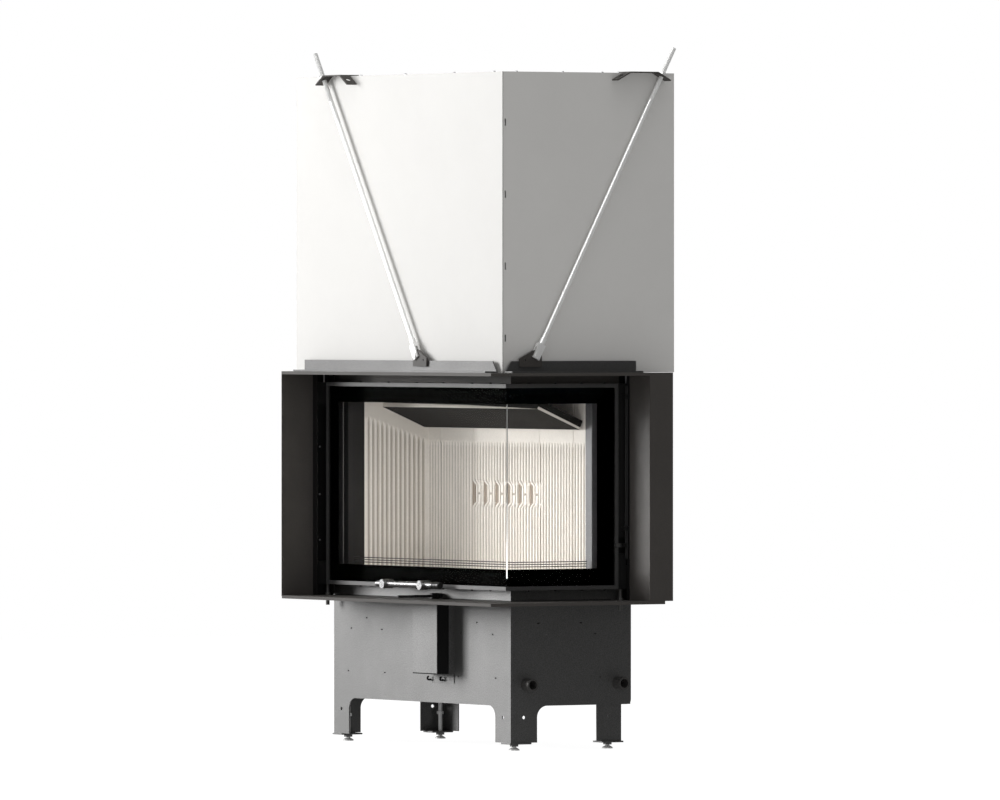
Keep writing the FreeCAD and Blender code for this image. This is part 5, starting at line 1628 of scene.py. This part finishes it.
@dataclass
class Studio:
    """Pale floor, soft lamps, white background and the camera."""

    azimuth: float = 58.0
    distance: float = 30.769
    sideways: float = -0.02756
    eye_height: float = 1.1564
    lens: float = 432.0
    sensor: float = 36.0
    clip: tuple[float, float] = (1.0, 200.0)
    horizon_shift: float = -0.1
    aim: Vec = (0.0, 0.0, 0.85)
    beam_aim: Vec = (-291.0, 246.0, 660.0)
    beam_turn: float = -38.0
    beam_rise: float = 0.05
    beam_distance: float = 0.45
    beam_size: tuple[float, float] = (0.42, 0.56)
    beam_power: float = 0.28
    beam_cone: float = 2.5
    floor_half: float = 9.0
    floor_drop: float = 0.0005
    floor_colour: Colour = (0.88, 0.88, 0.875)
    floor_share: float = 0.80
    floor_glow: float = 1.2
    backdrop_spot: Vec = (3.0, 1.7, 0.9)
    backdrop_size: tuple[float, float] = (3.4, 3.2)
    backdrop_colour: Colour = (0.004, 0.004, 0.004)
    world_light: float = 0.30

    def build(self) -> None:
        """Make the floor, the world, the lamps, the backdrop and the camera."""
        bpy.context.scene.view_settings.view_transform = "Standard"
        self.floor()
        self.world()
        for lamp in self.lamps():
            lamp.build()
        self.backdrop()
        self.camera()

    def lamps(self) -> list[Lamp]:
        """The key, fill and top lamps, two that only shine on metal, and a narrow beam on the rear lining.

        Returns:
            The lamps.
        """
        aim = place(*self.beam_aim)
        turn = math.radians(self.beam_turn)
        way = np.array([math.sin(turn), -math.cos(turn), self.beam_rise])
        start = tuple(aim + self.beam_distance * way)
        return [
            Lamp("key_softbox", (-5.55, -6.15, 2.95), self.aim, size=(3.15, 4.8), power=725.0, mirrored=True),
            Lamp("right_fill", (5.6, -1.6, 1.0), self.aim, size=(2.6, 2.0), power=36.0),
            Lamp("top_softbox", (0.6, -0.8, 5.2), self.aim, size=(4.0, 4.0), power=60.0, mirrored=True),
            Lamp("rod_softbox", (1.95, -3.5, 4.4), (0.1, -0.1, 1.4), size=(1.6, 1.6), power=110.0,
                 mirrored=True, diffuse=False),
            Lamp("handle_softbox", (-4.24, -2.5, 1.77), (0.0, -0.2, 0.45), size=(1.4, 0.8), power=8.0,
                 mirrored=True, diffuse=False),
            Lamp("window_beam", start, tuple(aim), size=self.beam_size, power=self.beam_power,
                 cone=self.beam_cone),
        ]

    @staticmethod
    def sheet(name: str, corners: np.ndarray) -> Piece:
        """A flat sheet between four corners."""
        return Surface(corners, np.array([[0, 1, 2, 3]])).piece(name, smooth=False)

    def floor(self) -> None:
        """A wide pale floor that shows white with the insert's soft shadow."""
        corners = np.array([[-1.0, -1.0, 0.0], [1.0, -1.0, 0.0], [1.0, 1.0, 0.0], [-1.0, 1.0, 0.0]])
        floor = self.sheet("studio_floor", corners * self.floor_half - self.floor_drop * np.array(UP))
        material, board, shader = started("studio_floor")
        board.tree.nodes.remove(shader)
        share = board.math("MULTIPLY", board.seen(), self.floor_share)
        matt = board.add("BsdfDiffuse", {"Color": (*self.floor_colour, 1.0)})
        glow = board.add("Emission", {"Color": (1.0, 1.0, 1.0, 1.0), "Strength": self.floor_glow})
        mixed = board.add("MixShader", {0: share, 1: matt.outputs[0], 2: glow.outputs[0]})
        board.feed(mixed.outputs[0], board.tree.nodes["Material Output"], "Surface")
        floor.data.materials.append(material)
        floor.visible_glossy = False

    def backdrop(self) -> None:
        """Stand a black backdrop at the right rear that only mirror-like surfaces see, to keep them dark."""
        middle = np.array(self.backdrop_spot)
        width, height = self.backdrop_size
        across = unit(np.array([middle[1], -middle[0], 0.0])) * width / 2
        rise = np.array(UP) * height / 2
        signs = ((-1, -1), (1, -1), (1, 1), (-1, 1))
        made = self.sheet("dark_backdrop", np.stack([middle + a * across + b * rise for a, b in signs]))
        material, _, shader = started("dark_backdrop")
        shader.inputs["Base Color"].default_value = (*self.backdrop_colour, 1.0)
        shader.inputs["Specular IOR Level"].default_value = 0.0
        made.data.materials.append(material)
        made.visible_camera = False
        made.visible_diffuse = False
        made.visible_transmission = False
        made.visible_shadow = False

    def world(self) -> None:
        """A white background to the camera and a soft grey light to the insert."""
        world = bpy.data.worlds.new("studio_world")
        bpy.context.scene.world = world
        world.use_nodes = True
        board = Board(world.node_tree)
        back = world.node_tree.nodes["Background"]
        back.inputs["Color"].default_value = (1.0, 1.0, 1.0, 1.0)
        board.feed(board.spread(board.seen(), 0.0, 1.0, self.world_light, 1.0), back, "Strength")

    def camera(self) -> None:
        """A level long-lens camera before the glazed corner, at the photograph's angle."""
        data = bpy.data.cameras.new("photo_camera")
        data.sensor_width = self.sensor
        data.lens = self.lens
        data.shift_y = self.horizon_shift
        data.clip_start, data.clip_end = self.clip
        made = bpy.data.objects.new("photo_camera", data)
        turn = math.radians(self.azimuth)
        ahead = np.array([-math.sin(turn), math.cos(turn), 0.0])
        aside = np.array([math.cos(turn), math.sin(turn), 0.0])
        spot = place(0.0, 0.0, 0.0) - self.distance * ahead + self.sideways * aside
        made.location = (spot[0], spot[1], self.eye_height)
        made.rotation_euler = (math.pi / 2, 0.0, turn)
        bpy.context.scene.collection.objects.link(made)
        bpy.context.scene.camera = made


def main() -> None:
    """Build and dress every sub-assembly, then the studio, and report each piece."""
    logging.basicConfig(level=logging.INFO, format="%(message)s")
    finishes = Finishes(Effects())
    finishes.make()
    for kind in (Plinth, Firebox, Lining, Surround, Housing, Door, LiftGear):
        assembly = kind(finishes)
        assembly.dress()
        assembly.build()
    Studio().build()


if __name__ == "__main__":
    main()
